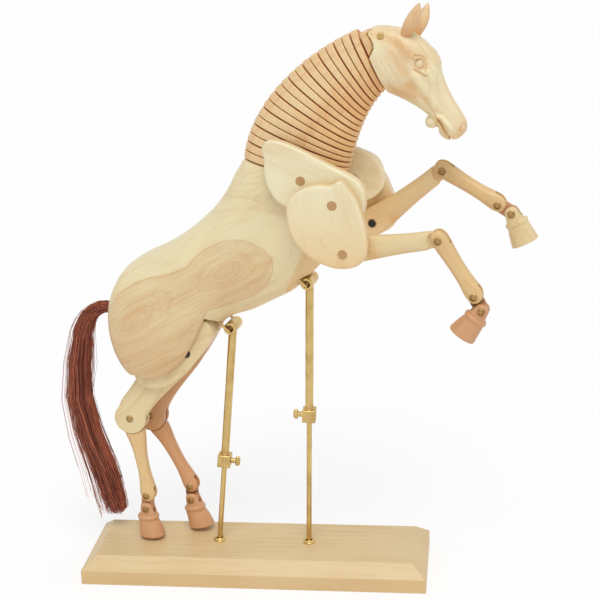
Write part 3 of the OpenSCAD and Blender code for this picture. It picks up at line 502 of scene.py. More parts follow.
def sanded(made, voxel, rounds=3, keep=1.0):
    """Even skin with softened edges."""
    steps = [("REMESH", dict(mode="VOXEL", voxel_size=voxel / 1000, use_smooth_shade=True)),
        ("SMOOTH", dict(factor=0.5, iterations=rounds))]
    if keep < 1:
        steps.append(("DECIMATE", dict(ratio=keep)))
    worked(made, *steps)
    made.data.shade_smooth()
    return made

def in_horse(mesh):
    """A mesh's points in the horse's own millimetres."""
    co = np.empty(len(mesh.vertices) * 3)
    mesh.vertices.foreach_get("co", co)
    p = co.reshape(-1, 3) * 1000
    x, y = p[:, 0] - pivot_x, p[:, 1]
    return np.column_stack((pivot_x + x * turn_c - y * turn_s, x * turn_s + y * turn_c, p[:, 2]))

def away(q, path):
    """How far points lie from a path in the side view."""
    flat, path = q[:, [0, 2]], np.atleast_2d(np.asarray(path, float))
    near = np.linalg.norm(flat - path[0], axis=1)
    for a, b in zip(path[:-1], path[1:]):
        t = np.clip(((flat - a) @ (b - a)) / ((b - a) @ (b - a)), 0, 1)
        near = np.minimum(near, np.linalg.norm(flat - (a + t[:, None] * (b - a)), axis=1))
    return near

def stroke(made, path, radius, depth):
    """Presses a soft groove (depth < 0) or raises a ridge (depth > 0) along a path in the side view, on both sides."""
    mesh = made.data
    q = in_horse(mesh)
    near = away(q, path)
    normals, co = np.empty(len(q) * 3), np.empty(len(q) * 3)
    mesh.vertex_normals.foreach_get("vector", normals)
    mesh.vertices.foreach_get("co", co)
    push = depth * np.exp(-(near / radius) ** 2) / 1000
    mesh.vertices.foreach_set("co", co + (normals.reshape(-1, 3) * push[:, None]).ravel())
    mesh.update()
    return made

def grained(made, origin=(0, 0, 0), angle=0.0):
    """Keeps each point's place in the piece's own frame: x forward, y to the left, z along the grain."""
    q = in_horse(made.data) - np.array(origin)
    c, s = cos(radians(angle)), sin(radians(angle))
    own = np.column_stack((q[:, 0] * c + q[:, 2] * s, q[:, 1], -q[:, 0] * s + q[:, 2] * c)) / 1000
    kept = made.data.attributes.new("grain", "FLOAT_VECTOR", "POINT")
    kept.data.foreach_set("vector", own.ravel())
    return made

trunk_rows = [(-129.4, 258.7, -129.6, 246.7, 16, 0.85), (-125, 280.7, -127.4, 227.7, 28, 0.8),
    (-112.9, 300.4, -121.9, 209.6, 36, 0.74), (-95.6, 312.7, -109.9, 193.5, 40, 0.70),
    (-76.3, 321.8, -84.4, 188.2, 41.5, 0.70), (-59.1, 331.9, -60.9, 201, 41, 0.70),
    (-42.9, 343.6, -41.1, 227.8, 38.5, 0.74), (-30.8, 354, -25.4, 247.6, 35, 0.8),
    (-19.6, 365.4, -10.5, 258.5, 32, 0.82), (-8.3, 381.2, 7.7, 264.5, 30.5, 0.84),
    (-0.3, 396.1, 28, 274.7, 28.8, 0.84), (14.9, 413.7, 48.6, 286.1, 27.9, 0.84), (44, 417, 66, 303, 27.9, 0.84),
    (74, 412, 81, 319, 25, 0.84), (95, 404, 95, 337, 19, 0.85), (104, 392, 103, 354, 11, 0.9)]
trunk = lofted("torso_wood", [oval(*row) for row in curve_through(trunk_rows, 4)])
seat = degrees(atan2(-18, 89))
cut(trunk, prism("saw", hung([(-60, 0), (180, 0), (180, 70), (-60, 70)], (8, 406), seat), -60, 60))
shoulder_pin, hip_pin = (67, 395.5), (-52.4, 225.5)
fused(trunk, *[across("boss", *shoulder_pin, 10.5, y, y + 5.85) for y in (-27.95, 22.1)])

def slot_reach(a):
    """How far a thigh's slot reaches from the hip, at an angle in degrees."""
    return 94 if 186 < a < 254 else 61 if 170 < a < 338 else 37 if 128 < a <= 170 else 42.5

for s in (-1, 1):
    mouth = [(hip_pin[0] + slot_reach(a) * cos(radians(a)), hip_pin[1] + slot_reach(a) * sin(radians(a)))
        for a in range(0, 360, 4)]
    cut(trunk, prism("slot", mouth, s * 6.5, s * 26.7))
haunch_rim = [(-110, 197), (-103.6, 202), (-93.2, 200), (-79.7, 202.2), (-66, 209.8), (-54.9, 219.8), (-49.2, 228),
    (-42.6, 239), (-39, 246), (-30.8, 262.8)]
haunch_rim = [tuple(q) for q in curve_through(haunch_rim, 4)] + [(-23.5, 253), (-20, 235), (-40, 190), (-80, 170),
    (-115, 175)]
cut(trunk, *[prism("rim", haunch_rim, s * 26.5, s * 60) for s in (-1, 1)])
cut(trunk, *[across("groove", x, z, 6.5, -12.5, 12.5) for x, z in barrel_at])
sanded(trunk, 1.15, rounds=4, keep=0.5)
maple = wood("carved_maple", (0.80, 0.70, 0.43), (0.62, 0.35, 0.15), ring_gap=7.5, ring_depth=0.15, board=16.0,
    board_tone=0.36)
grained(trunk, (-40, 0, 300), -62)
q = in_horse(trunk.data)
# The glue line of the outermost board shows as one waisted outline, with ring ovals in the haunch and the flank.
glue_line = [(-118.5, 273), (-111, 283.7), (-93.1, 296.1), (-77.1, 301.9), (-57.6, 306.6), (-41.9, 313.6), (-35, 322),
    (-25.7, 329.3), (-10.3, 336.7), (1, 338.5), (13.4, 337.1), (27.8, 330.3), (35.7, 319.5), (34.5, 307.1),
    (28.4, 294.3), (14.2, 283.6), (-3.7, 276.3), (-26.8, 270), (-31, 262), (-36, 236), (-48, 216), (-64, 198),
    (-85, 188), (-108, 187), (-130, 215), (-137, 245), (-131, 266)]
deep = away(q, glue_line + glue_line[:1])
inside = np.zeros(len(q), bool)
for (ax, az), (bx, bz) in zip(glue_line, glue_line[1:] + glue_line[:1]):
    inside ^= ((az > q[:, 2]) != (bz > q[:, 2])) & (q[:, 0] < (bx - ax) * (q[:, 2] - az) / (bz - az) + ax)

def ringed(cx, cz, tilt, long, wide):
    """One at a point, falling away in ovals."""
    c, s = cos(radians(tilt)), sin(radians(tilt))
    x, z = q[:, 0] - cx, q[:, 2] - cz
    return np.exp(-((x * c + z * s) / long) ** 2 - ((-x * s + z * c) / wide) ** 2)

own = np.empty(len(q) * 3)
trunk.data.attributes["grain"].data.foreach_get("vector", own)
own = own.reshape(-1, 3)
level = np.where(inside, 24 + 7 * (1 - np.exp(-deep / 12)) + 24 * ringed(-96, 258.6, 36, 23, 8.5)
    + 24 * ringed(-8.9, 307.6, 27, 17, 8.5), 24 - 0.42 * deep)
own[:, 1] = np.sign(q[:, 1]) * level / 1000
trunk.data.attributes["grain"].data.foreach_set("vector", own.ravel())
# Painted shade: the front of the chest below the shoulders is warmed, as are the undersides; a streak and a haunch
# patch warm the colour as well.
chest_shade = np.clip((away(q, [(62, 332), (59.1, 319.3), (53.7, 306.7), (45.8, 293.8), (34, 283)])
    * np.sign((q[:, 0] - 45.8) - (q[:, 2] - 293.8) * 0.5) + 0.6) / 1.2, 0, 1)
streak = 0.55 * np.exp(-(away(q, [(34.5, 319.4), (15.5, 308.7)]) / 2.0) ** 2)
haunch = 0.32 * np.exp(-((q[:, 0] + 84) / 46) ** 4 - ((q[:, 2] - 240) / 52) ** 4) + 0.12 * ringed(-10, 303, 27, 46,
    30)
paint_shade_and_amber(trunk, 0.65 * chest_shade * (q[:, 2] < 345) + streak + haunch)
dress(trunk, maple, "torso", "maple", "torso")

# The bails: brass wire staples that pass through the barrels and are driven into the belly.
# Each is one bent wire, its two legs splayed up and back into the wood.
def settled(made, name):
    """Replaces a curve, or a piece with a modifier, by its smooth mesh under a new name."""
    mesh = as_mesh(made)
    bpy.data.objects.remove(made)
    mesh.shade_smooth()
    return placed(name, mesh)

def run_line(curve, places):
    """Adds a straight-sided line through places in the horse's millimetres."""
    line = curve.splines.new("POLY")
    line.points.add(len(places) - 1)
    for point, place in zip(line.points, on_board(places)):
        point.co = (*place, 1)

for k, (x, z) in enumerate(barrel_at):
    z -= 1.8
    path = [(x - 17, -13.5, z + 17), (x - 3, -13.5, z + 3), (x - 0.9, -13.2, z + 0.9), (x - 0.2, -12.6, z + 0.2),
        (x, -11.6, z), (x, 0, z), (x, 11.6, z), (x - 0.2, 12.6, z + 0.2), (x - 0.9, 13.2, z + 0.9),
        (x - 3, 13.5, z + 3), (x - 17, 13.5, z + 17)]
    wire = bpy.data.curves.new("wire", "CURVE")
    wire.dimensions = "3D"
    wire.bevel_depth, wire.bevel_resolution, wire.use_fill_caps = 0.00128, 4, True
    run_line(wire, path)
    dress(settled(placed("wire", wire), "bail_%d" % (k + 1)), brass, "torso", "brass", "belly_bails")

# The dowels: darker pegs that pin the shoulder blades, the upper arms and the elbows, their end grain showing flush.
# The screws at the hips and inside the elbows are blackened steel.
dowel_wood = wood("dowel_wood", (0.50, 0.285, 0.115), (0.36, 0.18, 0.065), ring_gap=2.2, ring_depth=0.5)
legs = {-1: dict(scapula=60.1, humerus=10.6, forearm=98.2, front_cannon=32.0, front_pastern=27.5, front_hoof=-34.5,
    gaskin=-41.1, hind_cannon=7.3, hind_pastern=-5.6, hind_hoof=0.0),
    1: dict(scapula=67.5, humerus=20.0, forearm=128.0, front_cannon=58.8, front_pastern=58.8, front_hoof=26.0,
    gaskin=-33.8, hind_cannon=26.2, hind_pastern=3.0, hind_hoof=9.0)}
side_name = {-1: "right_", 1: "left_"}

joints = {}
for s, a in legs.items():
    joints[s] = {"shoulder_pin": shoulder_pin, "hip": hip_pin}
    for start, length, part, end in (("shoulder_pin", 35, "scapula", "shoulder"),
            ("shoulder", 43.6, "humerus", "elbow"), ("elbow", 81, "forearm", "knee"),
            ("knee", 57.5, "front_cannon", "front_fetlock"), ("front_fetlock", 14.2, "front_pastern", "front_coffin"),
            ("hip", 96.5, "gaskin", "hock"), ("hock", 81.5, "hind_cannon", "hind_fetlock"),
            ("hind_fetlock", 14.2, "hind_pastern", "hind_coffin")):
        joints[s][end] = hung([(0, -length)], joints[s][start], a[part])[0]

def laid_across(name, profile, at, y0, y1, sides):
    """A turned shape on an axis across the horse, starting at y0 and pointing to y1."""
    ends = on_board([(at[0], y0, at[1]), (at[0], y1, at[1])])
    return turned_part(name, profile, ends[0], Vector(ends[1]) - Vector(ends[0]), sides)

def peg(at, y0, y1):
    """A dowel with eased ends."""
    radius, ease, length = 4.5, 0.25, abs(y1 - y0)
    profile = [(0.01, 0), (radius - ease, 0), (radius, ease), (radius, length - ease), (radius - ease, length),
        (0.01, length)]
    return laid_across("peg", profile, at, y0, y1, 32)

pegs = together("shoulder_pegs", *[peg(shoulder_pin, s * 22.1, s * 39.45) for s in (-1, 1)])
dress(grained(pegs, (67, 0, 395.5)), dowel_wood, "torso", "dowel", "shoulder_dowels")
for s in (-1, 1):
    pegs = together(side_name[s] + "arm_pegs",
        *[peg(joints[s][k], s * 28.4, s * 52.45) for k in ("shoulder", "elbow")])
    dress(grained(pegs, (100, 0, 350)), dowel_wood, side_name[s] + "humerus", "dowel",
        side_name[s] + "humerus_dowels")
for name in ("hip_screws", "neck_cable"):
    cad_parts[name].data.materials.clear()
    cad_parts[name].data.materials.append(black_steel)

# The neck: nineteen maple discs threaded on a cable, glued in pairs, each a little smaller than the one below.
# Their rims are rounded so that a dark line shows between one disc and the next.
def bezier(a, b, c, d, t):
    """A place on a curve between two ends, pulled towards two handles."""
    a, b, c, d = (np.array(v, float) for v in (a, b, c, d))
    return (1 - t) ** 3 * a + 3 * (1 - t) ** 2 * t * b + 3 * (1 - t) * t * t * c + t ** 3 * d

disc_count = 19

def crest_at(k):
    """Where the line below disc k starts, at the crest."""
    return bezier((6, 407), (12, 453), (58, 497), (112, 520), k / disc_count + 0.04 * sin(pi * k / disc_count))

def throat_at(k):
    """Where that line ends, at the throat."""
    return bezier((98.5, 388.3), (106, 412), (112, 447), (135.5, 469), k / disc_count)

def line_gap(k, wide):
    """Half a line's opening: wide between pairs, narrow between glued discs."""
    return wide / 2 if k % 2 == 0 or k == disc_count else 0.4

neck_wood = wood("neck_maple", (0.85, 0.66, 0.37), (0.68, 0.36, 0.145), ring_gap=8.0, ring_depth=0.25, spots=1.6)
# The end faces that line each gap are darker and redder: painted shade between the discs.
gap_shade_wood = wood("gap_maple", (0.74, 0.35, 0.14), (0.62, 0.26, 0.09))

def neck_disc(k):
    """One disc between two lines across the neck, its rims rounded."""
    c0, c1, t0, t1 = crest_at(k), crest_at(k + 1), throat_at(k), throat_at(k + 1)
    def normal(c, t):
        u = (t - c) / np.linalg.norm(t - c)
        return np.array((-u[1], u[0])), u
    v0, u0 = normal(c0, t0)
    v1, u1 = normal(c1, t1)
    rings = []
    for end, (c, t, v, u, gc, gt) in enumerate(((c0, t0, v0, u0, line_gap(k, 1.4), line_gap(k, 1.2)),
            (c1, t1, -v1, u1, line_gap(k + 1, 1.4), line_gap(k + 1, 1.2)))):
        half = 21.5 - 9 * (k + end) / disc_count
        some = []
        for phi in (0, 18, 36, 54, 72, 90):
            inset, lift = 0.9 * (1 - sin(radians(phi))), 1 - cos(radians(phi))
            ck, tk = c + v * (gc + 1.0 * lift) + u * inset, t + v * (gt + 0.7 * lift) - u * inset
            some.append(oval(ck[0], ck[1], tk[0], tk[1], half - inset, 0.88, n=88, lean=0.10))
        rings += some if end == 0 else some[::-1]
    return lofted("disc", rings)

for pair in range(1, 11):
    discs = [neck_disc(k) for k in range(2 * pair - 2, min(2 * pair, disc_count))]
    made = together("neck_pair_%d" % pair, *discs)
    made.data.set_sharp_from_angle(angle=radians(60))
    made.data.materials.append(neck_wood)
    made.data.materials.append(gap_shade_wood)
    for face in made.data.polygons:
        face.material_index = 1 if len(face.vertices) == 3 else 0
    c, t = crest_at(2 * pair - 1), throat_at(2 * pair - 1)
    grained(made, (c[0], 0, c[1]), -8 - 4 * pair)
    q = in_horse(made.data)
    across_neck = np.clip(((q[:, 0] - c[0]) * (t[0] - c[0]) + (q[:, 2] - c[1]) * (t[1] - c[1])) / ((t - c) @ (t - c)),
        0, 1)
    arc = [(87.4, 425), (87.4, 441), (85.4, 446.2), (85.6, 452.4), (88.6, 462.1), (93.1, 470.9), (99.5, 478.8),
        (108.1, 486.7), (118, 492.8), (125.5, 497.5)]
    # Painted shade: warmer towards the throat and on undersides; a thin warm line follows an arc, and each pair's tone
    # differs a little.
    paint_shade_and_amber(made, 0.05 + 0.75 * np.clip((across_neck - 0.3) / 0.6, 0, 1) + 0.5 * np.exp(-(away(q, arc) / 0.7) ** 2)
        + (0.0, 0.16, 0.05)[pair % 3], under_shade=0.25)
    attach(made, "neck_%d" % pair)
    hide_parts("neck_discs_%d" % pair)

# The poll block: a flat tongue of the same wood above the highest disc, pinned between the cheeks of the head.
# The head turns on a brass pin through it.
c, t = crest_at(disc_count), throat_at(disc_count)
tongue = [(118, 507), (121, 516), (126, 520), (131, 521.2), (136, 521), (139.6, 518.4), (140.4, 514.5),
    (138.6, 510.6), (134, 509), (129, 500), (124, 497)]
poll = prism("poll", tongue, -7.5, 7.5)
shoulder = [(114.5, 516.9), (117.6, 518.2), (121.9, 519.2), (121.5, 515.4), (124.6, 512.2), (126.8, 508.6),
    (127.3, 505.4), (125.4, 501.4), (123.1, 497.4)]
collar = prism("shoulder", shoulder, -12.2, 12.2)
fused(poll, eased(collar, 0.0022, 4, 60))
sanded(poll, 0.4, rounds=3, keep=0.6)
# The poll block is warmed evenly and gets painted shade on its undersides.
dress(paint_shade_and_amber(grained(poll, (134, 0, 515), -60), 0.3), neck_wood, "poll", "warm_maple", "poll_block")

# The head: one block of maple, lofted from poll to muzzle, slotted for the poll block, then carved:
# deep cheeks, brow, lidded eyes, nostrils and a cut mouth over a rounded chin.
skull_rows = [(117.5, 519, 126, 471.5, 14.6, 0.78), (122.5, 520.6, 129, 469.2, 16.6, 0.8),
    (129, 522.4, 134, 467.3, 17.8, 0.82), (139, 522, 143, 464, 18.6, 0.85), (151, 520, 151, 460.5, 19, 0.85),
    (163, 514.5, 158, 456.8, 18.6, 0.85), (173, 506.5, 163, 453.6, 17.2, 0.88),
    (181.5, 495.5, 167.5, 450.4, 15.0, 0.9), (183.4, 484, 171, 447.2, 12.6, 0.92),
    (187.6, 472, 174.5, 443.4, 11.2, 0.92), (193, 461, 178.4, 437, 10.8, 0.92),
    (198.6, 452, 181.6, 430.6, 11.2, 0.92), (203, 444, 187, 426.4, 10.6, 0.92), (204.6, 438, 193, 425.8, 8.6, 0.95),
    (204, 433.5, 198, 427.5, 4.8, 1.0)]
head = lofted("head_wood", [oval(*row, n=72) for row in curve_through(skull_rows, 5)])
turn_back = degrees(atan2(t[1] - c[1], t[0] - c[0]))
cut(head, prism("saw", hung([(-40, -60), (100, -60), (100, 1.7), (-40, 1.7)], c, turn_back), -40, 40))
bulb = lofted("chin", [oval(174.4 - 5.6 * cos(a), 441.0 + 5.6 * sin(a) + 0.3, 174.4 - 5.6 * cos(a),
    441.0 - 5.6 * sin(a), 7.0 * sin(a), 1.0, n=32) for a in np.linspace(0.05, pi - 0.05, 16)])
fused(head, bulb)
recess = [(100, 519), (121.4, 530), (122.9, 520), (122.5, 515.9), (125.5, 513.2), (128.0, 509.2), (128.5, 505.3),
    (126.4, 500.9), (123.4, 495.6), (118, 488)]
slot_line = [(112, 512), (116, 519), (121, 521.4), (127, 519.6), (134, 520.8), (141.4, 519.4), (142.4, 514.4),
    (140, 509.4), (135, 507), (131, 500), (129, 478), (120, 480)]
between_lips = [(189.6, 431.0), (191.4, 429.4), (193.6, 426.6), (193.2, 421), (190.8, 421), (190.6, 426.8),
    (189.2, 429.6)]
lips = [(179.9, 446.0), (182.2, 445.2), (184.6, 442.2), (187.6, 436.8), (191.2, 431.0), (194.2, 426.6), (194, 420),
    (189.4, 420), (189.4, 426.8), (187.3, 431.8), (184.3, 437.6), (182.2, 442)]
cut(head, prism("recess", recess, -40, 40), prism("slot", slot_line, -7.9, 7.9), prism("lips", lips, 6.6, 40),
    prism("lips", lips, -40, -6.6), prism("lips", between_lips, -40, 40))
sanded(head, 0.45, rounds=3)
for path, radius, depth in (([(147, 508), (152.5, 497), (158, 488)], 4.5, -0.9),
        ([(137, 519), (148.7, 515.2), (157.9, 504), (162, 500)], 2.4, 0.6),
        ([(141, 511), (149, 505), (156, 494)], 3.0, -0.5), ([(163, 482), (172, 470), (179, 457)], 3.2, 0.8),
        ([(172, 478), (180, 463), (186, 452)], 4.2, -0.9), ([(160, 473), (167, 465), (173, 455)], 4.0, -0.8),
        ([(166.5, 492.5)], 6.4, -1.9), ([(176, 500), (178, 493), (177.5, 488)], 2.6, 0.7),
        ([(173.8, 498), (175, 493), (174.5, 488)], 1.3, -0.7),
        ([(160.0, 502.6), (162.8, 499.2), (166, 499.2), (169.8, 498.2), (172.3, 494.6), (172.8, 489.2)], 0.9, -1.25),
        ([(160.4, 501.4), (162.4, 497.6), (165.2, 497.7), (168.4, 496.9), (170.9, 493.8), (171.2, 489.8)], 0.9, 1.5),
        ([(167.1 + 3.3 * cos(a), 492.6 + 3.7 * sin(a)) for a in np.linspace(0, 2 * pi, 25)], 0.65, -1.2),
        ([(167.1, 492.6)], 2.6, 1.9), ([(163.4, 489.6), (166.8, 487.3), (172.6, 484.0)], 0.85, 1.25),
        ([(163, 487.4), (167, 485.2), (172.6, 482.2)], 0.9, -0.95),
        ([(179.0, 447.4), (179.7, 442.3), (179.6, 434)], 1.1, -1.3),
        ([(180.2, 447.6), (184.2, 446.4), (188.4, 441.6), (192.0, 437.4)], 1.3, 1.2),
        ([(180.6, 450.6), (186.0, 449.2), (190.8, 444.2)], 1.7, -0.7), ([(199.0, 438.5)], 4.2, 0.9),
        ([(202.4, 440.6), (201.0, 437.4), (200.0, 434.4)], 0.8, -1.7)):
    stroke(head, path, radius, depth)
worked(head, ("SMOOTH", dict(factor=0.4, iterations=1)))
head.data.shade_smooth()
grained(head, (150, 0, 480), 28)
# The mask paints shade along the carved lines of eye, lids, mouth, chin and nostril, and warms streaks and patches
# along the poll, cheek and face; undersides get painted shade too.
q = in_horse(head.data)
amber_and_shade = np.zeros(len(q))
for path, wide, much in (([(126, 517), (138, 516), (150, 509), (158, 501)], 5.0, 0.75),
        ([(175, 501), (180, 494)], 4.0, 0.4), ([(189, 429), (202, 432)], 5.0, 0.55),
        ([(204, 442), (203, 434)], 2.6, 0.4), ([(143, 503), (150, 492), (156, 485)], 2.6, 0.5),
        ([(158, 475), (162.5, 472)], 3.4, 1.0), ([(164, 470), (174, 460.5)], 2.4, 0.6),
        ([(170, 462), (177.6, 452)], 1.2, 0.7), ([(146, 468), (163, 470)], 6.5, 0.6),
        ([(167.1 + 4.2 * cos(a), 492.8 + 4.8 * sin(a)) for a in np.linspace(0, 2 * pi, 25)], 0.9, 0.5),
        ([(160.4, 502.4), (163, 498.6), (169.6, 497.8), (172.6, 493.4), (172.4, 486)], 0.9, 0.7),
        ([(163.2, 488.4), (166.8, 486.2), (172.6, 483.0)], 1.0, 0.7),
        ([(180.4, 446.0), (183.4, 442.4), (186, 437), (191, 430)], 2.6, 1.0),
        ([(179.4, 447), (179.6, 434)], 1.4, 0.6), ([(201.6, 438.8), (200.4, 434.8)], 1.3, 0.9),
        ([(178.5, 452), (180, 444)], 2.0, 0.4)):
    amber_and_shade = np.maximum(amber_and_shade, much * np.exp(-(away(q, path) / wide) ** 2))
head_wood = wood("head_maple", (0.86, 0.76, 0.49), (0.66, 0.36, 0.15), ring_depth=0.22, spots=1.8)
dress(paint_shade_and_amber(head, amber_and_shade, under_shade=0.35), head_wood, "head", "maple", "head")

# The ears: two small pegged leaves of redder wood, hollowed in front and drawn to a point.
red_maple = wood("red_maple", (0.80, 0.56, 0.31), (0.64, 0.33, 0.14), ring_gap=5.0)
ears = []
for s, root, lean in ((-1, (155, 518), 27), (1, (159, 513.5), 23)):
    rings = []
    for depth, width, height in curve_through([(3.4, 3.0, -5), (4.6, 4.0, 0), (5.8, 5.0, 4), (6.5, 5.5, 9),
            (6.0, 4.9, 15), (4.3, 3.4, 21), (2.0, 1.5, 25.8), (0.2, 0.2, 28.4)], 4):
        a = np.linspace(0, 2 * np.pi, 24, endpoint=False)
        hollow = np.where(np.cos(a) > 0,
            1 - 0.62 * np.exp(-((a - np.where(a > np.pi, 2 * np.pi, 0)) / 0.5) ** 2) * min(1, max(0, height / 8))
            * (1 - max(0, height) / 30), 1)
        x, y = depth * np.cos(a) * hollow + 1.2 * sin(pi * max(0, height) / 27), width * np.sin(a)
        lx, ly = radians(lean), radians(-10 * s)
        z = np.full_like(x, height)
        y2, z2 = y * cos(ly) - z * sin(ly), y * sin(ly) + z * cos(ly)
        rings.append(np.column_stack((root[0] + x * cos(lx) + z2 * sin(lx), s * 9.5 + y2,
            root[1] - x * sin(lx) + z2 * cos(lx))))
    ears.append(lofted("ear", rings))
pair = together("ear_pair", *ears)
pair.data.set_sharp_from_angle(angle=radians(70))
# The ears are warmed towards the root and get painted shade on their undersides.
q = in_horse(pair.data)
dress(paint_shade_and_amber(grained(pair, (160, 0, 520), 155), 0.55 * np.clip((530 - q[:, 2]) / 14, 0, 1)), red_maple, "head",
    "red_maple", "ears")
pin = laid_across("poll_pin", [(0.01, 0), (2.6, 0), (3.0, 0.4), (3.0, 30.6), (2.6, 31), (0.01, 31)], (134, 515.5),
    -15.5, 15.5, 32)
dress(pin, brass, "head", "brass", "head_pin")

# The tail: a bundle of long reddish-brown hair glued into a hole in the rump, spread by its own weight.
# Curves laid along the bundle are thickened by a geometry tree and kept as one mesh.
strand_count, hair_radius = 2100, 0.00019
hair = bpy.data.materials.new("tail_hair")
tree = tree_of(hair)
own = node(tree, "Math", [(0, node(tree, "Attribute", attribute_name="strand").outputs["Fac"]), (1, 1.7)],
    operation="POWER").outputs[0]
tone = node(tree, "Mix", [(0, own), (6, (0.10, 0.014, 0.008, 1)), (7, (0.80, 0.23, 0.11, 1))],
    data_type="RGBA").outputs[2]
gloss = node(tree, "MapRange", [("Value", own), ("To Min", 0.34), ("To Max", 0.55)]).outputs[0]
skin = node(tree, "BsdfPrincipled", [("Base Color", tone), ("Roughness", gloss)])
node(tree, "OutputMaterial", [("Surface", skin.outputs[0])])

tail_path = curve_through([(-126, 258), (-136, 258.5), (-145, 257), (-154, 251.5), (-161, 241), (-167, 224),
    (-171, 200), (-173.5, 172), (-171, 146), (-164, 118), (-155, 90), (-149, 66), (-144, 43)], 3)
spread = curve_through([(3.6, 3.6), (4.2, 4.2), (5.0, 5.0), (6.0, 5.6), (7.2, 6.4), (8.6, 7.2), (9.8, 8.0),
    (11.2, 8.8), (11.6, 9.0), (11.6, 9.2), (12.2, 9.2), (12.2, 9.0), (8.5, 7.5)], 3)
dice = random.Random(7)
strands = bpy.data.curves.new("strands", "CURVE")
strands.dimensions = "3D"
for _ in range(strand_count):
    radius, turn = sqrt(dice.random()), dice.uniform(0, 2 * pi)
    loose = dice.random() < 0.17
    if loose:
        flare, start = dice.choice((-1, 1)) * dice.uniform(4, 24), dice.uniform(0.0, 0.6)
    else:
        flare, start = dice.uniform(-4, 4), dice.uniform(0.0, 0.8)
    a, b = radius * cos(turn), radius * sin(turn)
    last = len(tail_path) - 1 - int(dice.random() ** 1.3 * 11)
    wave, phase, size = dice.uniform(0.15, 0.5), dice.uniform(0, 6.3), dice.uniform(0.1, 1.5)
    drift, twist = dice.uniform(-1.2, 1.2), dice.uniform(-0.5, 0.5)
    places = []
    for k in [*range(0, 15, 2), *range(18, last, 4), last]:
        p, q = tail_path[k], tail_path[min(k + 1, len(tail_path) - 1)] - tail_path[max(k - 1, 0)]
        q = q / np.linalg.norm(q)
        f = k / (len(tail_path) - 1)
        ca, sa = cos(twist * f), sin(twist * f)
        aa, bb = a * ca - b * sa, a * sa + b * ca
        off = aa * spread[k][0] + drift * f * 3 + flare * max(0.0, f - start) ** 1.2 + size * sin(phase + wave * k)
        off = min(off, spread[k][0] * 0.8 if f > 0.55 else spread[k][0] + 6)
        aside = bb * spread[k][1] + 0.6 * flare * sin(phase) * max(0.0,
            f - start) ** 1.2 + size * cos(phase * 1.7 + wave * k)
        places.append((p[0] - q[1] * off, aside, max(p[1] + q[0] * off, 26.5)))
    run_line(strands, places)
bundle = placed("tail_hair", strands)
lay = bpy.data.node_groups.new("thicken_strands", "GeometryNodeTree")
lay.is_modifier = True
given = sockets(lay, [("Geometry", "Geometry", None), ("Thickness", "Float", hair_radius), ("Seed", "Int", 3),
    ("Finish", "Material", None)], [("Geometry", "Geometry")])
factor = node(lay, "GeometryNodeSplineParameter").outputs["Factor"]
taper = node(lay, "MapRange", [("Value", factor), ("From Min", 0.6), ("From Max", 1.0), ("To Min", 1.0),
    ("To Max", 0.35)]).outputs[0]
sized = node(lay, "GeometryNodeSetCurveRadius", [("Curve", given["Geometry"]), ("Radius", taper)])
number = node(lay, "GeometryNodeInputIndex").outputs[0]
chance = node(lay, "FunctionNodeRandomValue", [("ID", number), ("Seed", given["Seed"])], data_type="FLOAT").outputs[1]
marked = node(lay, "GeometryNodeStoreNamedAttribute",
    [("Geometry", sized.outputs[0]), ("Name", "strand"), ("Value", chance)], data_type="FLOAT", domain="CURVE")
ring = node(lay, "GeometryNodeCurvePrimitiveCircle", [("Resolution", 3), ("Radius", given["Thickness"])])
tubes = node(lay, "GeometryNodeCurveToMesh",
    [("Curve", marked.outputs[0]), ("Profile Curve", ring.outputs[0]), ("Fill Caps", True)])
real = node(lay, "GeometryNodeRealizeInstances", [("Geometry", tubes.outputs[0])])
done = node(lay, "GeometryNodeSetMaterial", [("Geometry", real.outputs[0]), ("Material", given["Finish"])])
node(lay, "NodeGroupOutput", [("Geometry", done.outputs[0])])

def grown(made, name, tree, **inputs):
    """The mesh that a geometry tree makes of a piece, with its inputs filled in by name."""
    step = made.modifiers.new("growth", "NODES")
    step.node_group = tree
    for item in tree.interface.items_tree:
        if item.in_out == "INPUT" and item.name in inputs:
            step[item.identifier] = inputs[item.name]
    return settled(made, name)

dress(grown(bundle, "tail_strands", lay, Thickness=hair_radius, Seed=3, Finish=hair), hair, "torso", "hair", "tail")

# The shoulder blades and upper arms: flat-backed maple plates, pillowed in front, with a carved edge.
# They lie in two layers outside the trunk and turn on the dowels.
def curved(outline):
    """More places on a smooth closed outline."""
    return curve_through(outline[-1:] + outline + outline[:3], 5)[5:5 + 5 * len(outline)]

def plate(name, outline, at, angle, y0, y1, round_over):
    """A plate from an outline in its own frame, hung at a place and turned forward."""
    return sanded(eased(prism(name, hung(curved(outline), at, angle), y0, y1), round_over / 1000, 5, 60), 0.7,
        rounds=5, keep=0.6)

scapula_line = [(6, 43), (13, 43), (18, 39), (22, 28), (24, 10), (25, -12), (26.5, -32), (25, -46), (16, -56),
    (1, -61), (-14, -53), (-24, -34), (-28, -12), (-28, 8), (-22, 21), (-12, 31), (-1, 37)]
humerus_line = [(-36, 12), (-24, 18), (-10, 19), (2, 17), (11, 20), (17, 11), (22, -2), (24, -20), (23, -39),
    (18, -51), (7, -57), (-8, -56), (-22, -49), (-33, -39), (-41, -25), (-43.5, -12), (-41, 3)]
plate_wood = wood("plate_maple", (0.86, 0.78, 0.52), (0.68, 0.45, 0.22), ring_gap=9.0)
# The far forearm uses a paler, pinker copy of the leg wood: painted light on a leg that sits in shade.
lit_far_forearm_wood = wood("warm_plate_maple", (0.82, 0.61, 0.32), (0.68, 0.38, 0.17), ring_gap=9.0)
# The far-side plates use a paler, brighter copy of the plate wood: painted light on faces that sit in shade.
lit_far_plate_wood = wood("far_plate_maple", (0.98, 0.88, 0.60), (0.80, 0.52, 0.26), ring_gap=9.0)

